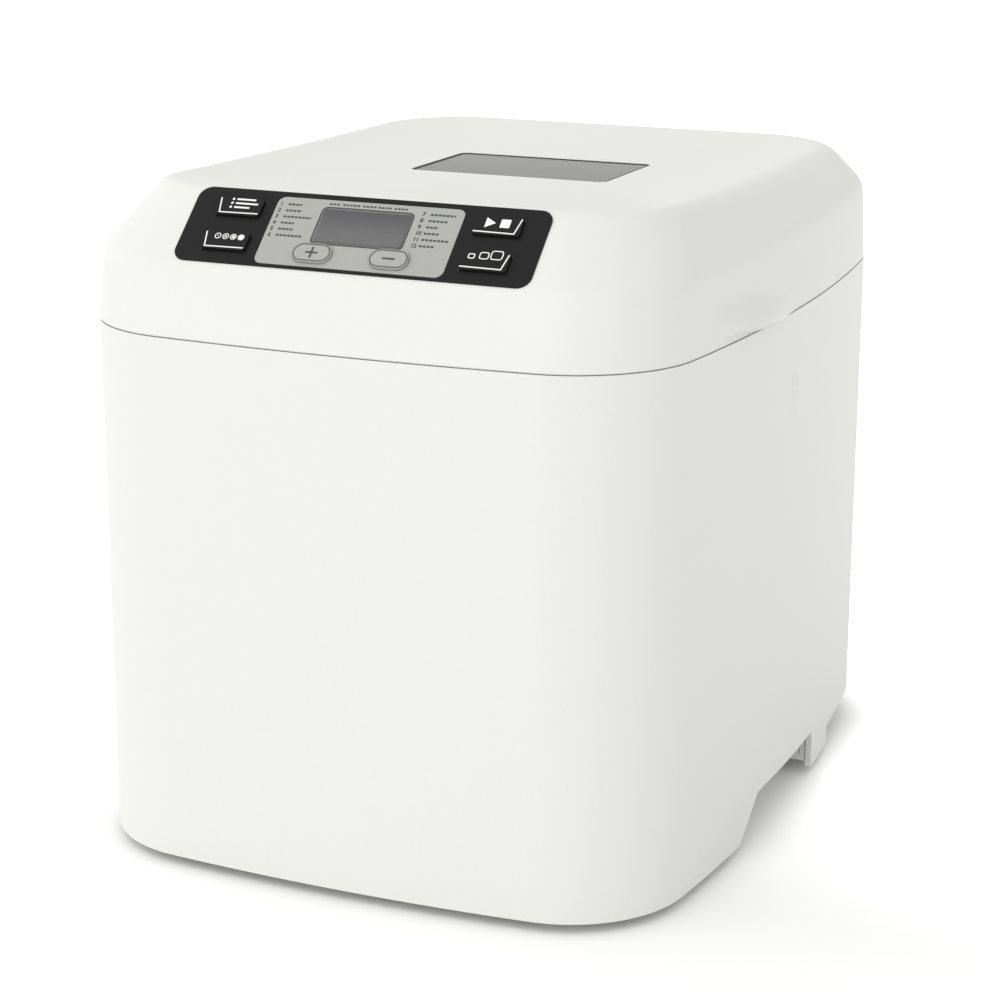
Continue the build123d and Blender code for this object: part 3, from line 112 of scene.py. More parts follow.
def object_axes(tree: Tree) -> Outputs:
    """Add object coordinates to a node tree, split by axis.

    Args:
        tree: Node tree.

    Returns:
        The outputs X, Y and Z, in metres.
    """
    return add_node(tree, "SeparateXYZ", {"Vector": add_node(tree, "TexCoord", {})["Object"]})


def smooth_step(tree: Tree, value: Socket, start: float, end: float) -> Socket:
    """Add a smooth step from 0 to 1 to a node tree.

    Args:
        tree: Node tree.
        value: Socket with a place in metres.
        start: Place in millimetres where the step starts.
        end: Place in millimetres where it ends.

    Returns:
        The step's output.
    """
    inputs = {"Value": value, "From Min": start * MM, "From Max": end * MM}
    return add_node(tree, "MapRange", inputs, interpolation_type="SMOOTHSTEP")["Result"]


class Texture(Enum):
    """Patterns of a finish, by the pattern's scale along X, Y and Z."""

    EVEN = (1.0, 1.0, 1.0)
    BRUSHED = (0.06, 1.0, 1.0)
    LAYERED = (0.01, 0.01, 1.0)


@dataclass(frozen=True)
class Finish:
    """One procedural finish, built as a node material.

    Attributes:
        name: Name of the material and of the record's slot.
        colour: Base colour in linear red, green and blue.
        roughness: Middle of the roughness range.
        texture: Pattern that moves colour, roughness and bump.
        metallic: Share of metal, 0 or 1.
        vary: How far colour and roughness move with the pattern.
        scale: Pattern repeats per metre.
        bump: Height of the pattern in millimetres.
        coat: Weight of a clear coat.
        transmission: Share of light let through.
        specular: Level of the plain reflection, 0.5 for common plastic.
    """

    name: str
    colour: Triple
    roughness: float
    texture: Texture = Texture.EVEN
    metallic: float = 0.0
    vary: float = 0.04
    scale: float = 900.0
    bump: float = 0.004
    coat: float = 0.0
    transmission: float = 0.0
    specular: float = 0.5

    def shade(self, tree: Tree, pattern: Socket) -> Socket:
        """Add the base colour, a little darker and lighter with the pattern.

        Args:
            tree: Node tree of the material.
            pattern: Output of the pattern.

        Returns:
            The colour's output.
        """
        ramp = tree.nodes.new("ShaderNodeValToRGB")
        for element, sign in zip(ramp.color_ramp.elements, (-1, 1)):
            shade = [min(1.0, max(0.0, value * (1 + sign * self.vary))) for value in self.colour]
            element.color = (*shade, 1.0)
            element.position = 0.5 + RAMP_SPREAD * sign
        return wire(tree, ramp, {"Fac": pattern})["Color"]

    def material(self) -> bpy.types.Material:
        """Build the material, or return the one built before.

        Returns:
            The node material with this finish's name.
        """
        found = bpy.data.materials.get(self.name)
        if found is not None and found.get("finish"):
            return found
        if found is not None:
            found.name = f"plain_{self.name}"
        made = bpy.data.materials.new(self.name)
        made["finish"] = True
        made.use_nodes = True
        tree = made.node_tree
        place = add_node(tree, "TexCoord", {})["Object"]
        place = add_node(tree, "Mapping", {"Vector": place, "Scale": self.texture.value})["Vector"]
        noise = {"Vector": place, "Scale": self.scale, "Detail": PATTERN_DETAIL}
        pattern = add_node(tree, "TexNoise", noise)["Fac"]
        rough = {
            "Value": pattern,
            "To Min": max(LEAST_ROUGHNESS, self.roughness * (1 - 2 * self.vary)),
            "To Max": min(1.0, self.roughness * (1 + 2 * self.vary)),
        }
        bump = {"Height": pattern, "Strength": BUMP_STRENGTH, "Distance": self.bump * MM}
        inputs = {
            "Base Color": self.shade(tree, pattern),
            "Roughness": add_node(tree, "MapRange", rough)["Result"],
            "Normal": add_node(tree, "Bump", bump)["Normal"],
            "Metallic": self.metallic,
            "Coat Weight": self.coat,
            "Coat Roughness": COAT_ROUGHNESS,
            "Transmission Weight": self.transmission,
            "Specular IOR Level": self.specular,
        }
        wire(tree, tree.nodes["Principled BSDF"], inputs)
        return made


# GradedFinish paints light and shade into a colour; here it paints the reflections on the window and display
# glass.
@dataclass(frozen=True)
class GradedFinish(Finish):
    """A finish that fades from one colour to another along one axis.

    Attributes:
        far_colour: Colour at the far end.
        start: Place of the near end in millimetres.
        end: Place of the far end in millimetres.
        axis: Name of the output that is followed, X, Y or Z.
    """

    far_colour: Triple = (0.5, 0.5, 0.5)
    start: float = 0.0
    end: float = 1.0
    axis: str = "Z"

    def shade(self, tree: Tree, pattern: Socket) -> Socket:
        """Blend the base colour towards the far colour along the axis.

        Args:
            tree: Node tree of the material.
            pattern: Output of the pattern.

        Returns:
            The blended colour's output.
        """
        inputs = {
            "Factor": smooth_step(tree, object_axes(tree)[self.axis], self.start, self.end),
            "A": super().shade(tree, pattern),
            "B": (*self.far_colour, 1.0),
        }
        return add_node(tree, "Mix", inputs, data_type="RGBA")["Result"]


WHITE_SHELL = Finish(
    "white_shell", (0.69, 0.695, 0.676), 0.28, vary=0.012, scale=1400, bump=0.002, specular=0.22
)
PRINT_WHITE = Finish("print_white", (0.80, 0.80, 0.78), 0.45, scale=3000)
PRINT_DARK = Finish("print_dark", (0.045, 0.045, 0.05), 0.45, scale=3000)
STEEL: dict[str, Texture | float] = dict(texture=Texture.BRUSHED, metallic=1.0, scale=2500.0, vary=0.08)
FINISHES: dict[str, Finish] = {
    finish.name: finish
    for finish in (
        WHITE_SHELL,
        Finish("white_base", (0.66, 0.665, 0.65), 0.38, vary=0.02, scale=1800, bump=0.01),
        Finish("black_rubber", (0.02, 0.02, 0.021), 0.75, vary=0.2, scale=2600, bump=0.03),
        Finish("seal_silicone", (0.42, 0.42, 0.40), 0.55, vary=0.05, bump=0.01),
        Finish("zinc_steel", (0.56, 0.57, 0.58), 0.38, **STEEL),
        Finish("screw_steel", (0.50, 0.51, 0.52), 0.32, **STEEL),
        Finish("shaft_steel", (0.62, 0.62, 0.63), 0.22, **STEEL),
        Finish("chamber_steel", (0.46, 0.46, 0.46), 0.40, Texture.EVEN, 1.0, 0.12, 160.0, 0.02),
        Finish("heater_steel", (0.10, 0.095, 0.09), 0.50, Texture.EVEN, 1.0, 0.25, 240.0, 0.03),
        Finish("ceramic_white", (0.78, 0.76, 0.70), 0.25, coat=0.3),
        Finish("bronze", (0.52, 0.36, 0.17), 0.42, Texture.EVEN, 1.0, 0.10, 700.0, 0.01),
        Finish("drive_plastic", (0.035, 0.035, 0.038), 0.48, vary=0.15, scale=1600, bump=0.02),
        Finish("drive_metal", (0.52, 0.52, 0.53), 0.45, Texture.EVEN, 1.0, 0.08, 900.0, 0.03),
        Finish("laminations", (0.28, 0.28, 0.30), 0.45, Texture.LAYERED, 1.0, 0.25, 1800.0, 0.05),
        Finish("copper_wire", (0.48, 0.20, 0.09), 0.35, Texture.LAYERED, 1.0, 0.25, 1500.0, 0.08),
        Finish("component_grey", (0.16, 0.165, 0.18), 0.45, vary=0.08),
        Finish("board_green", (0.03, 0.13, 0.055), 0.40, Texture.EVEN, 0.0, 0.30, 500.0, 0.01),
        Finish("pan_coating", (0.035, 0.035, 0.038), 0.42, vary=0.25, scale=3200, bump=0.02),
        Finish("handle_wire", (0.66, 0.66, 0.67), 0.16, **STEEL),
        Finish("liner_sheet", (0.60, 0.60, 0.61), 0.36, **STEEL),
        # window_glass paints a reflection: the pane's colour lightens from Y 5 mm to 48 mm, towards the back
        # of the window.
        GradedFinish(
            "window_glass", (0.085, 0.087, 0.083), 0.20, vary=0.05, scale=2200, specular=0.12,
            far_colour=(0.12, 0.122, 0.116), start=5.0, end=48.0, axis="Y",
        ),
        Finish("clear_glass", (0.85, 0.88, 0.87), 0.05, transmission=0.9),
        Finish(
            "fascia_black", (0.009, 0.009, 0.0095), 0.42,
            vary=0.15, scale=2600, bump=0.006, specular=0.14,
        ),
        Finish("key_black", (0.009, 0.009, 0.0095), 0.38, vary=0.15, scale=2600, specular=0.14),
        Finish("plate_grey", (0.35, 0.354, 0.338), 0.36, vary=0.03, scale=3000, specular=0.35),
        # lcd_glass paints light and shade: the lens is lighter at its lower edge and darkens towards its top,
        # from Z 241 mm to 250 mm.
        GradedFinish(
            "lcd_glass", (0.125, 0.125, 0.129), 0.16, vary=0.04, specular=0.3,
            far_colour=(0.075, 0.075, 0.08), start=241.0, end=250.0, axis="Z",
        ),
        Finish("lcd_body", (0.05, 0.05, 0.05), 0.5, vary=0.1),
    )
}


def mesh_object(name: str, points: np.ndarray, faces: Sequence[Sequence[int]]) -> Object:
    """Make a mesh object at the origin from points in millimetres.

    Args:
        name: Name of the object and its mesh.
        points: Array of shape (count, 3).
        faces: Corner indices of each face.

    Returns:
        The linked object.
    """
    mesh = bpy.data.meshes.new(name)
    mesh.from_pydata((np.asarray(points, float) * MM).tolist(), [], [list(face) for face in faces])
    mesh.validate()
    made = bpy.data.objects.new(name, mesh)
    bpy.context.scene.collection.objects.link(made)
    return made


def smooth(made: Object, angle: float = 32.0) -> None:
    """Shade a mesh smooth, with hard edges past an angle.

    Args:
        made: Object to shade.
        angle: Sharp edge angle in degrees.
    """
    made.data.shade_smooth()
    made.data.set_sharp_from_angle(angle=radians(angle))


def grid_object(name: str, rows: np.ndarray, close_rows: bool = False) -> Object:
    """Skin a stack of closed loops with four-sided faces.

    Face (i, j) joins rows i and i + 1 at columns j and j + 1, with columns taken round the loop.
    Faces of no area are left out and points in the same place become one.

    Args:
        name: Name of the object.
        rows: Array of shape (rows, columns, 3) in millimetres.
        close_rows: Whether the last row joins the first.

    Returns:
        The linked, smooth object with its faces outwards.
    """
    count, around = rows.shape[:2]
    row = np.arange(count if close_rows else count - 1)[:, None]
    column = np.arange(around)[None, :]
    ahead = (column + 1) % around
    above = (row + 1) % count
    corners = np.stack(
        [row * around + column, row * around + ahead, above * around + ahead, above * around + column], -1
    ).reshape(-1, 4)
    points = rows.reshape(-1, 3)
    across = points[corners[:, 2]] - points[corners[:, 0]]
    beside = points[corners[:, 3]] - points[corners[:, 1]]
    real = np.linalg.norm(np.cross(across, beside), axis=1) > LEAST_AREA
    made = mesh_object(name, points, corners[real])
    shape = bmesh.new()
    shape.from_mesh(made.data)
    bmesh.ops.remove_doubles(shape, verts=shape.verts, dist=SAME_PLACE)
    shape.to_mesh(made.data)
    shape.free()
    smooth(made)
    return made


def dress(made: Object, body: str, finish: Finish, node: str = "") -> Object:
    """Give a piece its finish and its body.

    Args:
        made: Piece to dress.
        body: Body that it rides on.
        finish: Its finish.
        node: CAD node that it stands for, if any.

    Returns:
        The same object.
    """
    made.data.materials.append(finish.material())
    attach(made, body)
    if node:
        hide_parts(node)
    return made


@dataclass(frozen=True)
class Columns:
    """How many columns each part of an outline has.

    Attributes:
        side: Columns on each long side.
        arc: Columns on each half of a corner.
        end: Columns on the front and on the back.
        split_x: Where corners are split in two, so that a notch can start there.
    """

    side: int = 72
    arc: int = 12
    end: int = 56
    split_x: float = 88.0


@dataclass(frozen=True)
class Outline:
    """Rounded rectangle whose sides and ends bow outwards.

    Attributes:
        half_x: Half width.
        half_y: Half depth.
        radius: Corner radius.
        bow_x: How far the sides bow out.
        bow_y: How far the ends bow out.
    """

    half_x: float
    half_y: float
    radius: float
    bow_x: float = 0.0
    bow_y: float = 0.0

    def inset(self, amount: float) -> "Outline":
        """Outline moved inwards by an even distance.

        Args:
            amount: Distance inwards.

        Returns:
            The smaller outline.
        """
        radius = max(self.radius - amount, 0.5)
        return Outline(self.half_x - amount, self.half_y - amount, radius, self.bow_x, self.bow_y)

    def loop(self, columns: Columns) -> np.ndarray:
        """Points round the outline, from the front of the right side, towards the back first.

        A side of turn t and corner radius r is the arc a in (-t, t) of
        x = mx + r cos a + my (cos a - cos t) / sin t, y = r sin a + my sin a / sin t,
        where (mx, my) is the corner's centre, and each corner is split where it crosses split_x.

        Args:
            columns: Column counts.

        Returns:
            Array of shape (count, 2).
        """
        middle_x = self.half_x - self.radius - self.bow_x
        middle_y = self.half_y - self.radius - self.bow_y
        side_turn = max(2 * atan2(self.bow_x, middle_y), 1e-4)
        end_turn = max(2 * atan2(self.bow_y, middle_x), 1e-4)
        spans = ((middle_y, middle_x, side_turn, columns.side), (middle_x, middle_y, end_turn, columns.end))
        flats = []
        for along, across, turn, steps in spans:
            angle = turn * (2 * np.arange(steps) / steps - 1)
            out = across + self.radius * np.cos(angle) + along * (np.cos(angle) - cos(turn)) / sin(turn)
            flats.append(np.stack([out, (self.radius + along / sin(turn)) * np.sin(angle)], 1))
        right, back = flats
        last = pi / 2 - end_turn
        reach = last - side_turn
        split = np.arccos(np.clip((columns.split_x - middle_x) / self.radius, -1, 1))
        split = float(np.clip(split, side_turn + 0.25 * reach, last - 0.25 * reach))
        count = columns.arc
        outwards = [np.linspace(side_turn, split, count), np.linspace(split, last, count, endpoint=False)]
        inwards = [np.linspace(last, split, count), np.linspace(split, side_turn, count, endpoint=False)]
        right_corner, left_corner = (
            self.radius * np.stack([np.cos(angle), np.sin(angle)], 1) + (middle_x, middle_y)
            for angle in (np.concatenate(outwards), np.concatenate(inwards))
        )
        mirror = (-1.0, 1.0)
        half = np.vstack([right, right_corner, back[:, ::-1] * mirror, left_corner * mirror])
        return np.vstack([half, -half])


BODY = Outline(122.5, 150.0, 47.0, 6.0, 3.0)
WINDOW = Outline(42.0, 26.3, 3.5)


@dataclass(frozen=True)
class Seat:
    """A plane that leans about X.

    Attributes:
        y: Y of its origin.
        z: Z of its origin.
        tilt: Rise towards the back, in radians.
    """

    y: float
    z: float
    tilt: float = 0.0

    def place(self, loop: np.ndarray) -> np.ndarray:
        """Put flat points on the plane.

        Args:
            loop: Array of shape (count, 2).

        Returns:
            Array of shape (count, 3).
        """
        return np.stack(
            [loop[:, 0], self.y + loop[:, 1] * cos(self.tilt), self.z + loop[:, 1] * sin(self.tilt)], 1
        )


@dataclass
class LidShell:
    """The lid: leaning wall with finger lips, soft creases, front slope and dished top round a window."""

    bottom: float = 203.25
    wall: float = 2.5
    rim: Outline = BODY
    crease_inset: float = 5.5
    crease_y: float = -141.3
    crease_z: float = 229.4
    crease_back_y: float = 144.5
    crease_back_z: float = 234.6
    crease_radius: float = 40.0
    crease_bow: float = 3.0
    crest_y: float = -115.3
    crest_z: float = 253.6
    top_back_y: float = 132.5
    top_back_z: float = 250.4
    top_half_x: float = 102.5
    top_radius: float = 36.0
    top_bow: float = 2.0
    side_dip: float = 1.6
    dip_out: float = 0.8
    dip_power: int = 4
    window: Outline = WINDOW
    window_y: float = 26.0
    window_z: float = 245.4
    window_recess: float = 1.5
    window_ledge: float = 3.5
    ledge_round: float = 0.3
    notch_y: float = 141.0
    lip_front: float = -88.0
    lip_back: float = -4.0
    lip_reach: float = 5.5
    lip_lift: float = 6.5
    lip_fade: float = 10.0
    lip_under: float = 2.5
    lip_rise: float = 0.3
    lip_power: float = 1.5
    lip_band: float = 20.0
    inside_lift: float = 3.0
    edge_lift: float = 0.4
    rim_lift: float = 0.5
    edge_shares: Pair = (0.15, 0.8)
    first_share: float = 0.04
    wall_rows: int = 24
    crease_rows: int = 7
    slope_rows: int = 3
    crest_rows: int = 9
    dish_rows: int = 26
    dish_power: float = 1.7
    soft_span: Pair = (-5.0, 47.0)
    soft: Pair = (2.0, 5.0)
    crest_soft: float = 1.3
    columns: Columns = Columns()

    def rounded(
        self, before: np.ndarray, corner: np.ndarray, after: np.ndarray, setback: np.ndarray, steps: int
    ) -> list[np.ndarray]:
        """Rows of a soft crease: p(t) = (1 - t)^2 a + 2 t (1 - t) c + t^2 b round each corner point c.

        Args:
            before: Points that the crease comes from.
            corner: Points of the sharp crease.
            after: Points that the crease goes to.
            setback: How far before and after the corner the crease starts and ends, per column.
            steps: Number of rows.

        Returns:
            The rows, each of shape (count, 3).
        """
        ways = (before - corner, after - corner)
        start, finish = (
            corner + way * setback[:, None] / np.linalg.norm(way, axis=1, keepdims=True) for way in ways
        )
        return [
            (1 - t) ** 2 * start + 2 * t * (1 - t) * corner + t**2 * finish for t in np.linspace(0, 1, steps)
        ]

    def loops(self) -> tuple[np.ndarray, np.ndarray, np.ndarray, np.ndarray]:
        """Points of the rim, the lower crease, the crest and the window's edge.

        The crest dips between front and back by side_dip (1 - v^2), where v runs from -1 to 1, and
        moves outwards as it dips, along the side's slope.

        Returns:
            Four arrays of shape (count, 3).
        """
        rise = self.crease_back_z - self.crease_z
        run = self.crease_back_y - self.crease_y
        crease = Outline(
            self.rim.half_x - self.crease_inset, hypot(run, rise) / 2, self.crease_radius, self.crease_bow
        )
        crease_seat = Seat(
            (self.crease_y + self.crease_back_y) / 2, self.crease_z + rise / 2, atan2(rise, run)
        )
        fall = self.top_back_z - self.crest_z
        length = self.top_back_y - self.crest_y
        top = Outline(self.top_half_x, hypot(length, fall) / 2, self.top_radius, self.top_bow)
        top_seat = Seat((self.crest_y + self.top_back_y) / 2, self.crest_z + fall / 2, atan2(fall, length))
        rim = Seat(0.0, self.bottom).place(self.rim.loop(self.columns))
        low = crease_seat.place(crease.loop(self.columns))
        high = top_seat.place(top.loop(self.columns))
        along = 2 * (high[:, 1] - top_seat.y) / length
        dip = self.side_dip * np.clip(1 - along**2, 0, 1)
        aside = np.clip(np.abs(high[:, 0]) / self.top_half_x, 0, 1) ** self.dip_power
        high[:, 0] += np.sign(high[:, 0]) * dip * self.dip_out * aside
        high[:, 2] -= dip
        edge = Seat(self.window_y, self.window_z).place(self.window.loop(self.columns))
        return rim, low, high, edge

    def lip(self, row: np.ndarray) -> np.ndarray:
        """Push a row of the wall out into the finger lips.

        With u from 0 at the lip's front to 1 at its back, the push is reach sin(p) sin(q)^2 g(h).
        p grows to a quarter turn over the front share rise, and q from the back over the rest. h is the
        height over the lip's edge, which rises by lift (1 - u)^power, and g falls as a half cosine over
        fade above the edge and straight over under below it.

        Args:
            row: Points of one wall row.

        Returns:
            The moved row.
        """
        along = np.clip((row[:, 1] - self.lip_front) / (self.lip_back - self.lip_front), 0, 1)
        bump = np.sin(pi / 2 * np.clip(along / self.lip_rise, 0, 1))
        bump *= np.sin(pi / 2 * np.clip((1 - along) / (1 - self.lip_rise), 0, 1)) ** 2
        over = row[:, 2] - self.bottom - self.lip_lift * (1 - along) ** self.lip_power
        fade = 0.5 + 0.5 * np.cos(pi * np.clip(over / self.lip_fade, 0, 1))
        fade *= np.clip(1 + over / self.lip_under, 0, 1)
        out = row.copy()
        side = np.abs(row[:, 0]) > self.rim.half_x - self.lip_band
        out[:, 0] += np.sign(row[:, 0]) * side * self.lip_reach * bump * fade
        return out

    def notch(self, row: np.ndarray) -> np.ndarray:
        """Hold the columns between the back corners' splits in front of the hinge.

        Args:
            row: Points of one row.

        Returns:
            The row with its hinge notch.
        """
        count = self.columns
        start = count.side + count.arc
        end = start + 2 * count.arc + count.end
        out = row.copy()
        out[start:end, 1] = np.minimum(out[start:end, 1], self.notch_y)
        return out

    def rows(self) -> np.ndarray:
        """Stack the rows from inside the wall, over the crease and crest, down to the window's ledge.

        Returns:
            Array of shape (rows, columns, 3).
        """
        rim, low, high, edge = self.loops()
        inside = Seat(0.0, self.bottom).place(self.rim.inset(self.wall).loop(self.columns))
        lift = np.array([0.0, 0.0, 1.0])
        under, outer = ((1 - share) * inside + share * rim for share in self.edge_shares)
        stack = [inside + self.inside_lift * lift, inside + self.edge_lift * lift, under]
        front = np.interp(high[:, 1], [self.crest_y + step for step in self.soft_span], self.soft)
        crease = self.rounded(rim, low, high, front, self.crease_rows)
        shares = np.linspace(self.first_share, 1 - self.first_share, self.wall_rows)
        wall = [outer, rim + self.rim_lift * lift, *(rim + (crease[0] - rim) * t for t in shares)]
        stack += [self.lip(row) for row in wall]
        crest = self.rounded(low, high, edge, front * self.crest_soft, self.crest_rows)
        shares = np.linspace(0, 1, self.slope_rows + 2)[1:-1]
        stack += crease + [crease[-1] + (crest[0] - crease[-1]) * t for t in shares] + crest
        start = crest[-1]
        for t in np.linspace(self.first_share, 1.0, self.dish_rows):
            row = start + (edge - start) * t
            row[:, 2] = edge[:, 2] + (start[:, 2] - edge[:, 2]) * (1 - t) ** self.dish_power
            stack.append(row)
        ledge = Seat(self.window_y, self.window_z - self.window_recess).place(
            self.window.inset(self.window_ledge).loop(self.columns)
        )
        stack += [edge - (self.window_recess - self.ledge_round) * lift, edge - self.window_recess * lift]
        stack.append(ledge)
        return np.stack([self.notch(row) for row in stack])

    def build(self) -> Object:
        """Build the lid mesh.

        Returns:
            The lid object, riding the lid and standing for its CAD node.
        """
        made = grid_object("lid_shell_smooth", self.rows())
        return dress(made, "lid", WHITE_SHELL, "lid_shell")


@dataclass
class LidKnuckles:
    """The lid's two hinge knuckles: barrels round the pin, with arms to the lid's back wall."""

    x: float = 36.0
    y: float = 145.5
    z: float = 204.0
    barrel: float = 4.2
    half_length: float = 6.0
    arm_y: float = 139.75
    arm_lift: float = 0.5
    edge_round: float = 0.4
    rim_share: float = 0.9
    barrel_points: int = 40

    def profile(self) -> np.ndarray:
        """Outline seen along X, round the barrel from under the arm to above it.

        The barrel is (y, z) + r (cos a, sin a), with a from where the arm's underside meets it, by the
        bottom and the back, to the top.

        Returns:
            Array of shape (count, 2) from the pin's axis.
        """
        start = pi - np.arcsin(self.arm_lift / self.barrel)
        angle = np.linspace(start, 2.5 * pi, self.barrel_points)
        round_part = self.barrel * np.stack([np.cos(angle), np.sin(angle)], 1)
        inner = self.arm_y - self.y
        return np.vstack([round_part, [(inner, self.barrel), (inner, self.arm_lift)]])

    def build(self) -> list[Object]:
        """Sweep the outline along X for each knuckle, with rounded rims and closed ends.

        Returns:
            The two knuckles, riding the lid.
        """
        outline = self.profile()
        end = self.half_length
        steps = ((-end, 0.0), (-end, self.rim_share), (self.edge_round - end, 1.0))
        steps += tuple((-place, share) for place, share in reversed(steps))
        made = []
        for name, middle in (("right_lid_knuckle", self.x), ("left_lid_knuckle", -self.x)):
            rows = [
                np.column_stack([np.full(len(outline), middle + place), outline * share + (self.y, self.z)])
                for place, share in steps
            ]
            made.append(dress(grid_object(name, np.stack(rows)), "lid", WHITE_SHELL))
        return made


@dataclass
class Window:
    """Tinted pane in the lid's window and the thin dark gasket round it."""

    opening: Outline = WINDOW
    y: float = 26.0
    z: float = 245.4
    fit: float = 0.05
    gasket_width: float = 1.0
    gasket_sink: float = 0.1
    pane_sink: float = 0.3
    thickness: float = 1.2
    edge_round: float = 0.2
    pane_rows: int = 5
    columns: Columns = Columns(24, 8, 30, 40.0)

    def row(self, inset: float, drop: float) -> np.ndarray:
        """Loop inside the opening.

        Args:
            inset: Distance inside the opening's edge.
            drop: Depth under the lid's face.

        Returns:
            Array of shape (count, 3).
        """
        return Seat(self.y, self.z - drop).place(self.opening.inset(inset).loop(self.columns))

    def gasket(self) -> Object:
        """Build the ring, a swept rectangle of its width and the pane's thickness.

        Returns:
            The gasket, standing for its CAD node.
        """
        outer, inner = self.fit, self.fit + self.gasket_width
        low, high = self.pane_sink + self.thickness, self.gasket_sink
        stack = [self.row(outer, low), self.row(outer, high), self.row(inner, high), self.row(inner, low)]
        made = grid_object("window_gasket_smooth", np.stack(stack), close_rows=True)
        return dress(made, "lid", FINISHES["black_rubber"], "window_gasket")

    def pane(self) -> Object:
        """Build the pane as nested loops: the edge loop drawn in to the middle by even shares.

        Returns:
            The pane, standing for its CAD node.
        """
        edge = 2 * self.fit + self.gasket_width
        top = self.row(edge + self.edge_round, self.pane_sink)
        middle = top.mean(0)
        base = self.row(edge, self.pane_sink + self.thickness)
        under = base.mean(0)
        draw = np.linspace(0, 1, self.pane_rows)
        stack = [under + (base - under) * t for t in draw]
        stack += [self.row(edge, self.pane_sink + self.edge_round)]
        stack += [middle + (top - middle) * t for t in draw[::-1]]
        made = grid_object("window_pane_smooth", np.stack(stack))
        return dress(made, "lid", FINISHES["window_glass"], "window_pane")

    def build(self) -> list[Object]:
        """Build both pieces.

        Returns:
            The gasket and the pane.
        """
        return [self.gasket(), self.pane()]


@dataclass
class FlatArt:
    """Flat shapes in panel millimetres, gathered into one print."""

    points: list[np.ndarray] = field(default_factory=list)
    faces: list[list[int]] = field(default_factory=list)
    count: int = 0

    def add(self, points: np.ndarray, faces: Sequence[Sequence[int]]) -> None:
        """Add points and the faces that join them.

        Args:
            points: Array of shape (count, 2).
            faces: Corner indices within these points.
        """
        self.faces += [[self.count + int(corner) for corner in face] for face in faces]
        self.points.append(np.asarray(points, float))
        self.count += len(points)

    def bar(self, x: float, y: float, width: float, height: float) -> None:
        """Add a rectangle.

        Args:
            x: Left end.
            y: Middle height.
            width: Length along the panel.
            height: Thickness up the panel.
        """
        low, high = y - height / 2, y + height / 2
        self.add(np.array([(x, low), (x + width, low), (x + width, high), (x, high)]), [[0, 1, 2, 3]])

    def stroke(self, path: Sequence[Pair], width: float) -> None:
        """Add a line with mitred bends: each point moves by half the width along its mean normal.

        Args:
            path: Points of the line.
            width: Thickness of the line.
        """
        line = np.asarray(path, float)
        way = np.diff(line, axis=0)
        way /= np.linalg.norm(way, axis=1, keepdims=True)
        normal = np.stack([-way[:, 1], way[:, 0]], 1)
        mean = np.vstack([normal[:1], (normal[:-1] + normal[1:]) / 2, normal[-1:]])
        mean /= (mean**2).sum(1, keepdims=True)
        both = np.vstack([line + mean * width / 2, line - mean * width / 2])
        size = len(line)
        self.add(both, [[i + size, i + size + 1, i + 1, i] for i in range(size - 1)])

    def loop(self, x: float, y: float, outline: Outline) -> np.ndarray:
        """Points round a rounded rectangle.

        Args:
            x: Middle along the panel.
            y: Middle up the panel.
            outline: Its edge.

        Returns:
            Array of shape (count, 2).
        """
        return outline.loop(Columns(4, 6, 4, outline.half_x)) + np.array([x, y])

    def ring(self, x: float, y: float, outer: Outline, width: float) -> None:
        """Add a band along a rounded rectangle.

        Args:
            x: Middle along the panel.
            y: Middle up the panel.
            outer: Outer edge.
            width: Thickness of the band.
        """
        loops = [self.loop(x, y, outer), self.loop(x, y, outer.inset(width))]
        size = len(loops[0])
        here = np.arange(size)
        ahead = (here + 1) % size
        self.add(np.vstack(loops), np.stack([here, ahead, ahead + size, here + size], 1))

    def blob(self, x: float, y: float, outline: Outline) -> None:
        """Add a filled rounded rectangle.

        Args:
            x: Middle along the panel.
            y: Middle up the panel.
            outline: Its edge.
        """
        loop = self.loop(x, y, outline)
        self.add(loop, [range(len(loop))])

    def number(self, text: str, x: float, y: float, size: float) -> None:
        """Add a plain number, made from a font curve.

        Args:
            text: Digits to write.
            x: Left end.
            y: Base line.
            size: Height of the letters.
        """
        curve = bpy.data.curves.new("number", "FONT")
        curve.body = text
        curve.size = size
        curve.resolution_u = NUMBER_STEPS
        curve.offset = NUMBER_WEIGHT * size
        carrier = bpy.data.objects.new("number", curve)
        bpy.context.scene.collection.objects.link(carrier)
        ready = carrier.evaluated_get(bpy.context.evaluated_depsgraph_get())
        mesh = bpy.data.meshes.new_from_object(ready)
        flat = np.empty(3 * len(mesh.vertices))
        mesh.vertices.foreach_get("co", flat)
        self.add(flat.reshape(-1, 3)[:, :2] + np.array([x, y]), [list(p.vertices) for p in mesh.polygons])
        bpy.data.objects.remove(carrier)
        bpy.data.curves.remove(curve)
        bpy.data.meshes.remove(mesh)


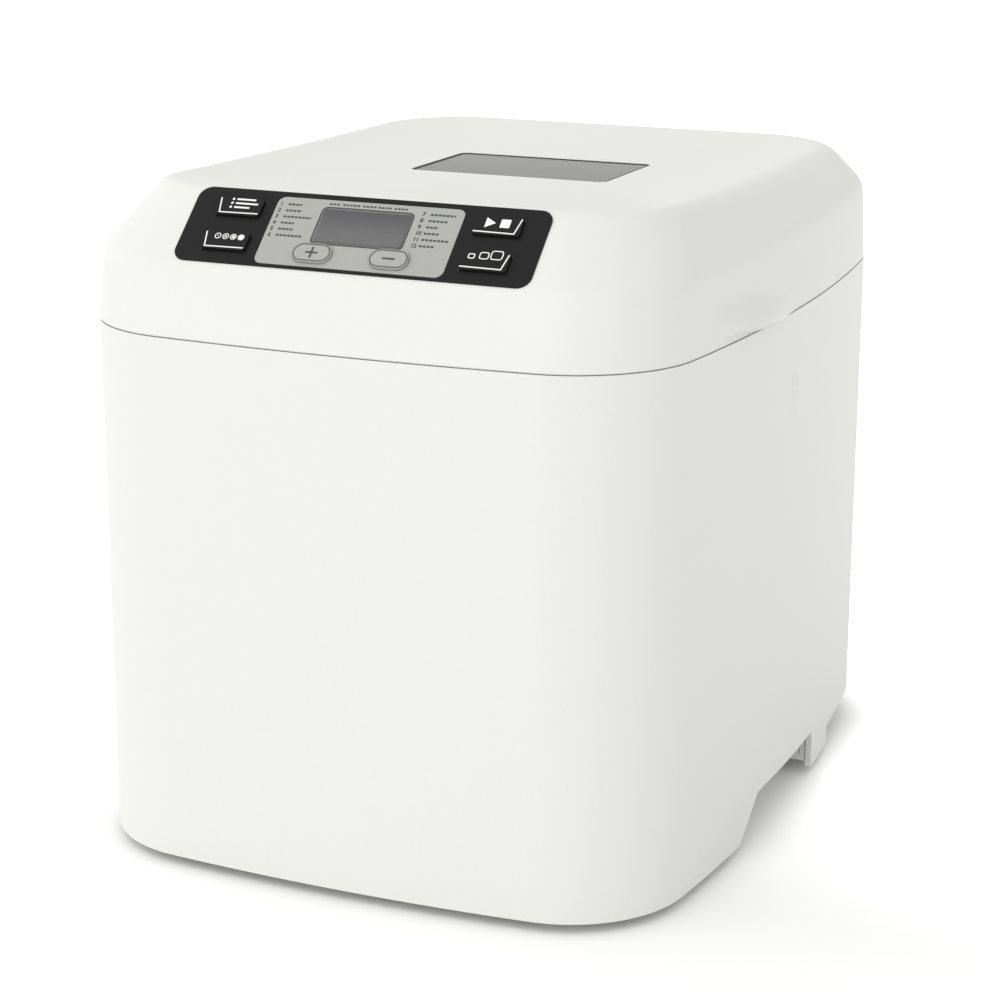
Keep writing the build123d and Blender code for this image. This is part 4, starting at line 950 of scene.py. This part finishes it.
@dataclass
class ControlPanel:
    """Print on the sloped control panel and its keys; the solid pieces are the CAD's own."""

    crease_y: float = -141.3
    crease_z: float = 229.4
    run: float = 26.0
    rise: float = 24.2
    middle: float = 18.1
    lift: float = 0.04
    key_x: float = 50.3
    key_upper: float = 8.0
    key_lower: float = -7.3
    oval_x: float = 14.9
    oval_y: float = -9.6
    lens: Outline = Outline(17.6, 7.85, 1.8)
    lens_y: float = 3.05
    lens_frame: Pair = (0.5, 0.75)
    corner_line: tuple[Pair, ...] = ((8.3, 3.3), (7.0, -3.1), (-8.4, -2.9))
    corner_width: float = 0.5
    sign_x: float = -53.6
    menu_y: float = 11.0
    menu_pitch: float = 1.8
    menu_dot: Outline = Outline(0.5, 0.5, 0.45)
    menu_bar_x: float = -52.2
    menu_bars: tuple[float, ...] = (7.6, 9.0, 6.2)
    menu_bar_height: float = 0.75
    crust_y: float = -5.7
    crust_pitch: float = 3.1
    crust_rim: Outline = Outline(1.25, 1.25, 1.2)
    crust_line: float = 0.35
    crust_dots: tuple[float, ...] = (0.25, 0.45, 0.65, 0.85)
    dot_corner: float = 0.05
    play_sign: tuple[Pair, ...] = ((45.6, 11.2), (45.6, 6.8), (49.4, 9.0))
    stop_place: Pair = (53.0, 9.0)
    stop_sign: Outline = Outline(1.8, 1.8, 0.3)
    size_x: float = 45.0
    size_pitch: float = 4.6
    size_base: float = -6.9
    size_halves: tuple[float, ...] = (1.3, 1.8, 2.3)
    size_height: float = 0.85
    size_round: float = 0.5
    size_line: float = 0.4
    oval_rim: Outline = Outline(7.2, 3.7, 3.65)
    oval_line: float = 0.45
    oval_sign: Pair = (4.8, 0.8)
    oval_arm: float = 2.0
    list_lengths: tuple[float, ...] = (5.4, 6.2, 11.0, 5.2, 5.6, 10.2, 9.6, 7.2, 4.6, 5.8, 10.4, 6.0)
    list_rows: int = 6
    list_x: Pair = (-35.2, 20.6)
    list_y: float = 11.2
    list_pitch: float = 2.75
    list_indent: float = 3.2
    list_dash: Triple = (1.5, 1.15, 0.85)
    number_size: float = 2.3
    number_drop: float = 0.75
    title_y: float = 12.6
    title_words: tuple[Pair, ...] = (
        (-16.0, 4.0), (-10.8, 6.6), (-3.0, 4.4), (3.0, 4.6), (9.2, 4.6)
    )
    title_dash: Triple = (1.4, 1.0, 0.8)

    def axes(self) -> tuple[np.ndarray, np.ndarray, np.ndarray]:
        """The slope's middle, its upward direction and its outward normal.

        Returns:
            Three arrays of three numbers.
        """
        angle = atan2(self.rise, self.run)
        up = np.array([0.0, cos(angle), sin(angle)])
        normal = np.array([0.0, -sin(angle), cos(angle)])
        origin = np.array([0.0, self.crease_y, self.crease_z]) + self.middle * up
        return origin, up, normal

    def face_height(self, node: str) -> float:
        """Height of a CAD node's front face above the slope.

        Args:
            node: Name of the node.

        Returns:
            Height in millimetres along the normal.
        """
        origin, _, normal = self.axes()
        mesh = frame["nodes"][node].data
        flat = np.empty(3 * len(mesh.vertices), np.float32)
        mesh.vertices.foreach_get("co", flat)
        return float(((flat.reshape(-1, 3) / MM - origin) @ normal).max())

    def print_on(self, name: str, art: FlatArt, node: str, body: str, finish: Finish) -> Object:
        """Lay flat art on the front face of a CAD node.

        Args:
            name: Name of the print.
            art: Shapes in panel millimetres.
            node: CAD node that carries it.
            body: Body that it rides on.
            finish: Its finish.

        Returns:
            The print's object.
        """
        origin, up, normal = self.axes()
        flat = np.vstack(art.points)
        base = origin + normal * (self.face_height(node) + self.lift)
        points = base + flat[:, :1] * np.array([1.0, 0.0, 0.0]) + flat[:, 1:] * up
        return dress(mesh_object(name, points, art.faces), body, finish)

    def key_art(self, x: float, y: float) -> FlatArt:
        """Corner line printed on a black key, open towards the middle of the panel.

        Args:
            x: Middle of the key.
            y: Middle of the key.

        Returns:
            The art with its corner line.
        """
        side = 1 if x > 0 else -1
        art = FlatArt()
        line = [(x + side * across, y + up) for across, up in self.corner_line]
        art.stroke(line, self.corner_width)
        return art

    def keys(self) -> list[Object]:
        """Print the four black keys with plain signs in place of words.

        Returns:
            The prints.
        """
        menu = self.key_art(-self.key_x, self.key_upper)
        for row, width in enumerate(self.menu_bars):
            y = self.menu_y - self.menu_pitch * row
            menu.blob(self.sign_x, y, self.menu_dot)
            menu.bar(self.menu_bar_x, y, width, self.menu_bar_height)
        crust = self.key_art(-self.key_x, self.key_lower)
        for place, half in enumerate(self.crust_dots):
            x = self.sign_x + self.crust_pitch * place
            crust.ring(x, self.crust_y, self.crust_rim, self.crust_line)
            crust.blob(x, self.crust_y, Outline(half, half, half - self.dot_corner))
        start = self.key_art(self.key_x, self.key_upper)
        start.add(np.array(self.play_sign), [[0, 1, 2]])
        start.blob(*self.stop_place, self.stop_sign)
        size = self.key_art(self.key_x, self.key_lower)
        for place, half in enumerate(self.size_halves):
            outline = Outline(half, self.size_height * half, self.size_round * half)
            size.ring(self.size_x + self.size_pitch * place, self.size_base + half, outline, self.size_line)
        made = []
        for name, art in (("menu", menu), ("crust", crust), ("start", start), ("size", size)):
            made.append(self.print_on(f"{name}_print", art, f"{name}_key", f"{name}_button", PRINT_WHITE))
        return made

    def ovals(self) -> list[Object]:
        """Print the plus and minus signs and the rims of their keys.

        Returns:
            The prints.
        """
        made = []
        for name, side in (("plus", -1), ("minus", 1)):
            art = FlatArt()
            x = side * self.oval_x
            length, line = self.oval_sign
            art.bar(x - length / 2, self.oval_y, length, line)
            if name == "plus":
                for step in (1, -1):
                    middle = self.oval_y + step * (line + self.oval_arm) / 2
                    art.bar(x - line / 2, middle, line, self.oval_arm)
            art.ring(x, self.oval_y, self.oval_rim, self.oval_line)
            made.append(self.print_on(f"{name}_print", art, f"{name}_key", f"{name}_button", PRINT_DARK))
        return made

    def plate(self) -> Object:
        """Print the display's frame and the numbered lists, with lines in place of words.

        Returns:
            The print.
        """
        art = FlatArt()
        outside, width = self.lens_frame
        art.ring(0.0, self.lens_y, self.lens.inset(-outside), width)
        pitch, dash, height = self.list_dash
        for place, length in enumerate(self.list_lengths):
            column, row = divmod(place, self.list_rows)
            x = self.list_x[column]
            y = self.list_y - self.list_pitch * row
            art.number(str(place + 1), x, y - self.number_drop, self.number_size)
            for start in np.arange(0.0, length, pitch):
                art.bar(x + self.list_indent + start, y, min(dash, length - start), height)
        pitch, dash, height = self.title_dash
        for x, width in self.title_words:
            for start in np.arange(0.0, width, pitch):
                art.bar(x + start, self.title_y, dash, height)
        return self.print_on("plate_print", art, "display_plate", "lid", PRINT_DARK)

    def build(self) -> list[Object]:
        """Build every print on the panel.

        Returns:
            The prints.
        """
        return [*self.keys(), *self.ovals(), self.plate()]


@dataclass
class VentLouvres:
    """White blades that fill the vent slits of both sides to just under the wall's face."""

    y: float = -6.5
    height: float = 170.0
    columns: int = 4
    rows: int = 3
    pitch: float = 2.1
    row_pitch: float = 6.5
    width: float = 0.85
    length: float = 4.9
    sink: float = 0.12
    thickness: float = 3.0
    rim: Outline = BODY

    def boxes(self, side: int) -> tuple[np.ndarray, np.ndarray]:
        """Corners and faces of all blades of one side.

        The wall is nearly x = half - bow (y / my)^2 between the corners, where my is half the straight
        length. Blade (i, j) of n by m has its middle pitch (i - (n - 1) / 2) behind y and
        row_pitch (j - (m - 1) / 2) over height.

        Args:
            side: 1 for the right side, -1 for the left.

        Returns:
            Points of shape (count, 3) and faces of shape (count, 4).
        """
        place_y = self.y + self.pitch * (np.arange(self.columns) - (self.columns - 1) / 2)
        place_z = self.height + self.row_pitch * (np.arange(self.rows) - (self.rows - 1) / 2)
        y, z = (grid.ravel() for grid in np.meshgrid(place_y, place_z))
        middle = self.rim.half_y - self.rim.radius - self.rim.bow_y
        face = self.rim.half_x - self.sink - self.rim.bow_x * (y / middle) ** 2
        unit = np.array([(i, j, k) for k in (-1, 1) for j in (-1, 1) for i in (-1, 0)], float)
        size = np.array([self.thickness, self.width / 2, self.length / 2])
        points = np.stack([face, y, z], 1)[:, None, :] + unit * size
        quads = np.array([(0, 2, 3, 1), (4, 5, 7, 6), (0, 1, 5, 4), (2, 6, 7, 3), (0, 4, 6, 2), (1, 3, 7, 5)])
        faces = (8 * np.arange(len(y))[:, None, None] + quads).reshape(-1, 4)
        turned = faces if side > 0 else faces[:, ::-1]
        return points.reshape(-1, 3) * np.array([side, 1.0, 1.0]), turned

    def build(self) -> list[Object]:
        """Build the blades of each side.

        Returns:
            Two pieces, riding the machine's body.
        """
        made = []
        for name, side in (("right_vent_louvres", 1), ("left_vent_louvres", -1)):
            made.append(dress(mesh_object(name, *self.boxes(side)), "machine_body", WHITE_SHELL))
        return made


@dataclass
class CarriedNodes:
    """CAD nodes that are shown as they are, with finishes and softened edges."""

    sharp: float = 30.0
    bevel_steps: int = 3
    bevel_angle: float = 40.0
    soft_edges: dict[str, float] = field(
        default_factory=lambda: {
            "display_plate": 0.2,
            "lcd_lens": 0.15,
            "menu_key": 0.15,
            "crust_key": 0.15,
            "start_key": 0.15,
            "size_key": 0.15,
            "plus_key": 0.45,
            "minus_key": 0.45,
        }
    )

    def soften(self, node: Object, bevel: float) -> None:
        """Join a CAD mesh's triangles for shading and, if asked, round its edges.

        Args:
            node: CAD node.
            bevel: Edge round in millimetres, or 0 for none.
        """
        node.data.polygons.foreach_set("use_smooth", np.ones(len(node.data.polygons), bool))
        weld = node.modifiers.new("weld", "WELD")
        weld.merge_threshold = SAME_PLACE
        if bevel:
            edge = node.modifiers.new("edge", "BEVEL")
            edge.width = bevel * MM
            edge.segments = self.bevel_steps
            edge.limit_method = "ANGLE"
            edge.angle_limit = radians(self.bevel_angle)
        split = node.modifiers.new("split", "EDGE_SPLIT")
        split.split_angle = radians(self.sharp)
        node.modifiers.new("shade", "WEIGHTED_NORMAL")

    def build(self) -> int:
        """Dress every CAD node.

        Returns:
            How many nodes were dressed.
        """
        for part in frame["record"]["subparts"]:
            node = frame["nodes"][part["node"]]
            node.data.materials.clear()
            node.data.materials.append(FINISHES[part["material_slot"]].material())
            self.soften(node, self.soft_edges.get(part["node"], 0.0))
        return len(frame["nodes"])


@dataclass
class Stage:
    """White floor and sky, a little brighter to the front left, and a level lamp that lights the front."""

    reach: float = 30.0
    sky: float = 1.12
    sky_tint: tuple[float, float, float, float] = (1.0, 1.0, 0.99, 1.0)
    slant: float = 0.4
    bright_side: Triple = (-0.62, -0.78, 0.0)
    lamp: float = 1.3
    lamp_way: Triple = (0.45, 1.0, 0.10)
    lamp_angle: float = 20.0
    # painted light: the camera sees the floor brightened beside and behind the machine, which washes out the
    # machine's soft shadow there
    floor_white: float = 0.97
    painted_floor_light: float = 0.6
    footprint: Outline = BODY
    painted_light_off: Pair = (-10.5, 13.5)
    painted_light_y: Pair = (-110.0, 60.0)

    def floor_material(self) -> bpy.types.Material:
        """Make the floor's white, which the camera sees lifted beside and behind the machine.

        The lift is painted light that washes out the machine's soft shadow beside and behind it:
        painted_floor_light s(d) s(y), where d = |(max(|x| - a, 0), max(y - b, 0))| - r is how far a
        point lies outside the footprint, whose corners have radius r and their centres at (a, b), and s
        is a smooth step from 0 to 1 between the two ends of painted_light_off and painted_light_y.
        Other rays meet the plain white.

        Returns:
            The material.
        """
        made = bpy.data.materials.new("floor_white")
        made.use_nodes = True
        tree = made.node_tree
        tree.nodes.clear()
        parts = object_axes(tree)
        across = add_node(tree, "Math", {0: parts["X"]}, operation="ABSOLUTE")["Value"]
        past = {}
        sides = (("X", across, self.footprint.half_x), ("Y", parts["Y"], self.footprint.half_y))
        for axis, value, reach in sides:
            inputs = {0: value, 1: (reach - self.footprint.radius) * MM}
            beyond = add_node(tree, "Math", inputs, operation="SUBTRACT")["Value"]
            past[axis] = add_node(tree, "Math", {0: beyond, 1: 0.0}, operation="MAXIMUM")["Value"]
        corner = add_node(tree, "CombineXYZ", past)["Vector"]
        far = add_node(tree, "VectorMath", {0: corner}, operation="LENGTH")["Value"]
        # painted light: camera rays see the floor brightened outside the footprint, fading in from the front
        # towards the back, so the shadow there is painted out
        lift = add_node(tree, "LightPath", {})["Is Camera Ray"]
        off = [self.footprint.radius + end for end in self.painted_light_off]
        for value, span in ((far, off), (parts["Y"], self.painted_light_y)):
            inputs = {0: lift, 1: smooth_step(tree, value, *span)}
            lift = add_node(tree, "Math", inputs, operation="MULTIPLY")["Value"]
        inputs = {0: lift, 1: self.painted_floor_light, 2: self.floor_white}
        white = add_node(tree, "Math", inputs, operation="MULTIPLY_ADD")["Value"]
        shader = add_node(tree, "BsdfDiffuse", {"Color": white})["BSDF"]
        add_node(tree, "OutputMaterial", {"Surface": shader})
        return made

    def floor(self) -> Object:
        """Make the floor.

        Returns:
            The floor's object.
        """
        edge = self.reach / MM
        corners = np.array([(-edge, -edge, 0), (edge, -edge, 0), (edge, edge, 0), (-edge, edge, 0)])
        made = mesh_object("floor", corners, [[0, 1, 2, 3]])
        made.data.materials.append(self.floor_material())
        return made

    def world(self) -> None:
        """Light the scene by sky + slant (d . bright_side) in each direction d.

        The camera sees plain white.
        """
        world = bpy.data.worlds.new("white")
        bpy.context.scene.world = world
        world.use_nodes = True
        tree = world.node_tree
        tree.nodes.clear()
        way = add_node(tree, "TexCoord", {})["Generated"]
        inputs = {0: way, 1: self.bright_side}
        side = add_node(tree, "VectorMath", inputs, operation="DOT_PRODUCT")["Value"]
        inputs = {0: side, 1: self.slant, 2: self.sky}
        level = add_node(tree, "Math", inputs, operation="MULTIPLY_ADD")["Value"]
        lit = add_node(tree, "Background", {"Color": self.sky_tint, "Strength": level})["Background"]
        seen = add_node(tree, "Background", {"Color": (1.0, 1.0, 1.0, 1.0)})["Background"]
        camera = add_node(tree, "LightPath", {})["Is Camera Ray"]
        blend = add_node(tree, "MixShader", {"Fac": camera, 1: lit, 2: seen})["Shader"]
        add_node(tree, "OutputWorld", {"Surface": blend})

    def front_lamp(self) -> None:
        """Add the soft sun that brightens the front and, being level, hardly reaches the floor."""
        lamp = bpy.data.lights.new("front_lamp", "SUN")
        lamp.energy = self.lamp
        lamp.angle = radians(self.lamp_angle)
        carrier = bpy.data.objects.new("front_lamp", lamp)
        bpy.context.scene.collection.objects.link(carrier)
        carrier.rotation_euler = Vector(self.lamp_way).to_track_quat("-Z", "Y").to_euler()

    def build(self) -> None:
        """Build the stage."""
        self.floor()
        self.world()
        self.front_lamp()


@dataclass
class ViewPoint:
    """The photograph's camera."""

    azimuth: float = 23.389
    elevation: float = 14.348
    distance: float = 1034.9
    target_z: float = 140.0
    focal: float = 92.51
    sensor: float = 36.0
    sight: float = 100.0
    roll: float = 0.162
    shift: Pair = (-0.0049, -0.0643)

    def build(self) -> Object:
        """Place the camera and make it the scene's own.

        Returns:
            The camera object.
        """
        turn, lift, roll = radians(self.azimuth), radians(self.elevation), radians(self.roll)
        back = Vector((sin(turn) * cos(lift), -cos(turn) * cos(lift), sin(lift)))
        level = Vector((cos(turn), sin(turn), 0.0))
        upright = back.cross(level)
        right = level * cos(roll) + upright * sin(roll)
        up = upright * cos(roll) - level * sin(roll)
        place = Vector((0.0, 0.0, self.target_z)) + back * self.distance
        data = bpy.data.cameras.new("camera")
        data.sensor_width = self.sensor
        data.lens = self.focal
        data.shift_x, data.shift_y = self.shift
        data.clip_end = self.sight
        made = bpy.data.objects.new("camera", data)
        bpy.context.scene.collection.objects.link(made)
        turned = Matrix((right, up, back)).transposed()
        made.matrix_world = Matrix.Translation(place * MM) @ turned.to_4x4()
        bpy.context.scene.camera = made
        return made


def main() -> None:
    """Build the looks in order."""
    logging.basicConfig(level=logging.INFO, format="%(name)s: %(message)s")
    bpy.context.scene.view_settings.view_transform = "Standard"
    log.info("dressed %d CAD nodes", CarriedNodes().build())
    log.info("built %s", LidShell().build().name)
    for made in ControlPanel().build():
        log.info("printed %s", made.name)
    for made in [*LidKnuckles().build(), *Window().build(), *VentLouvres().build()]:
        log.info("built %s", made.name)
    Stage().build()
    ViewPoint().build()


if __name__ == "__main__":
    main()
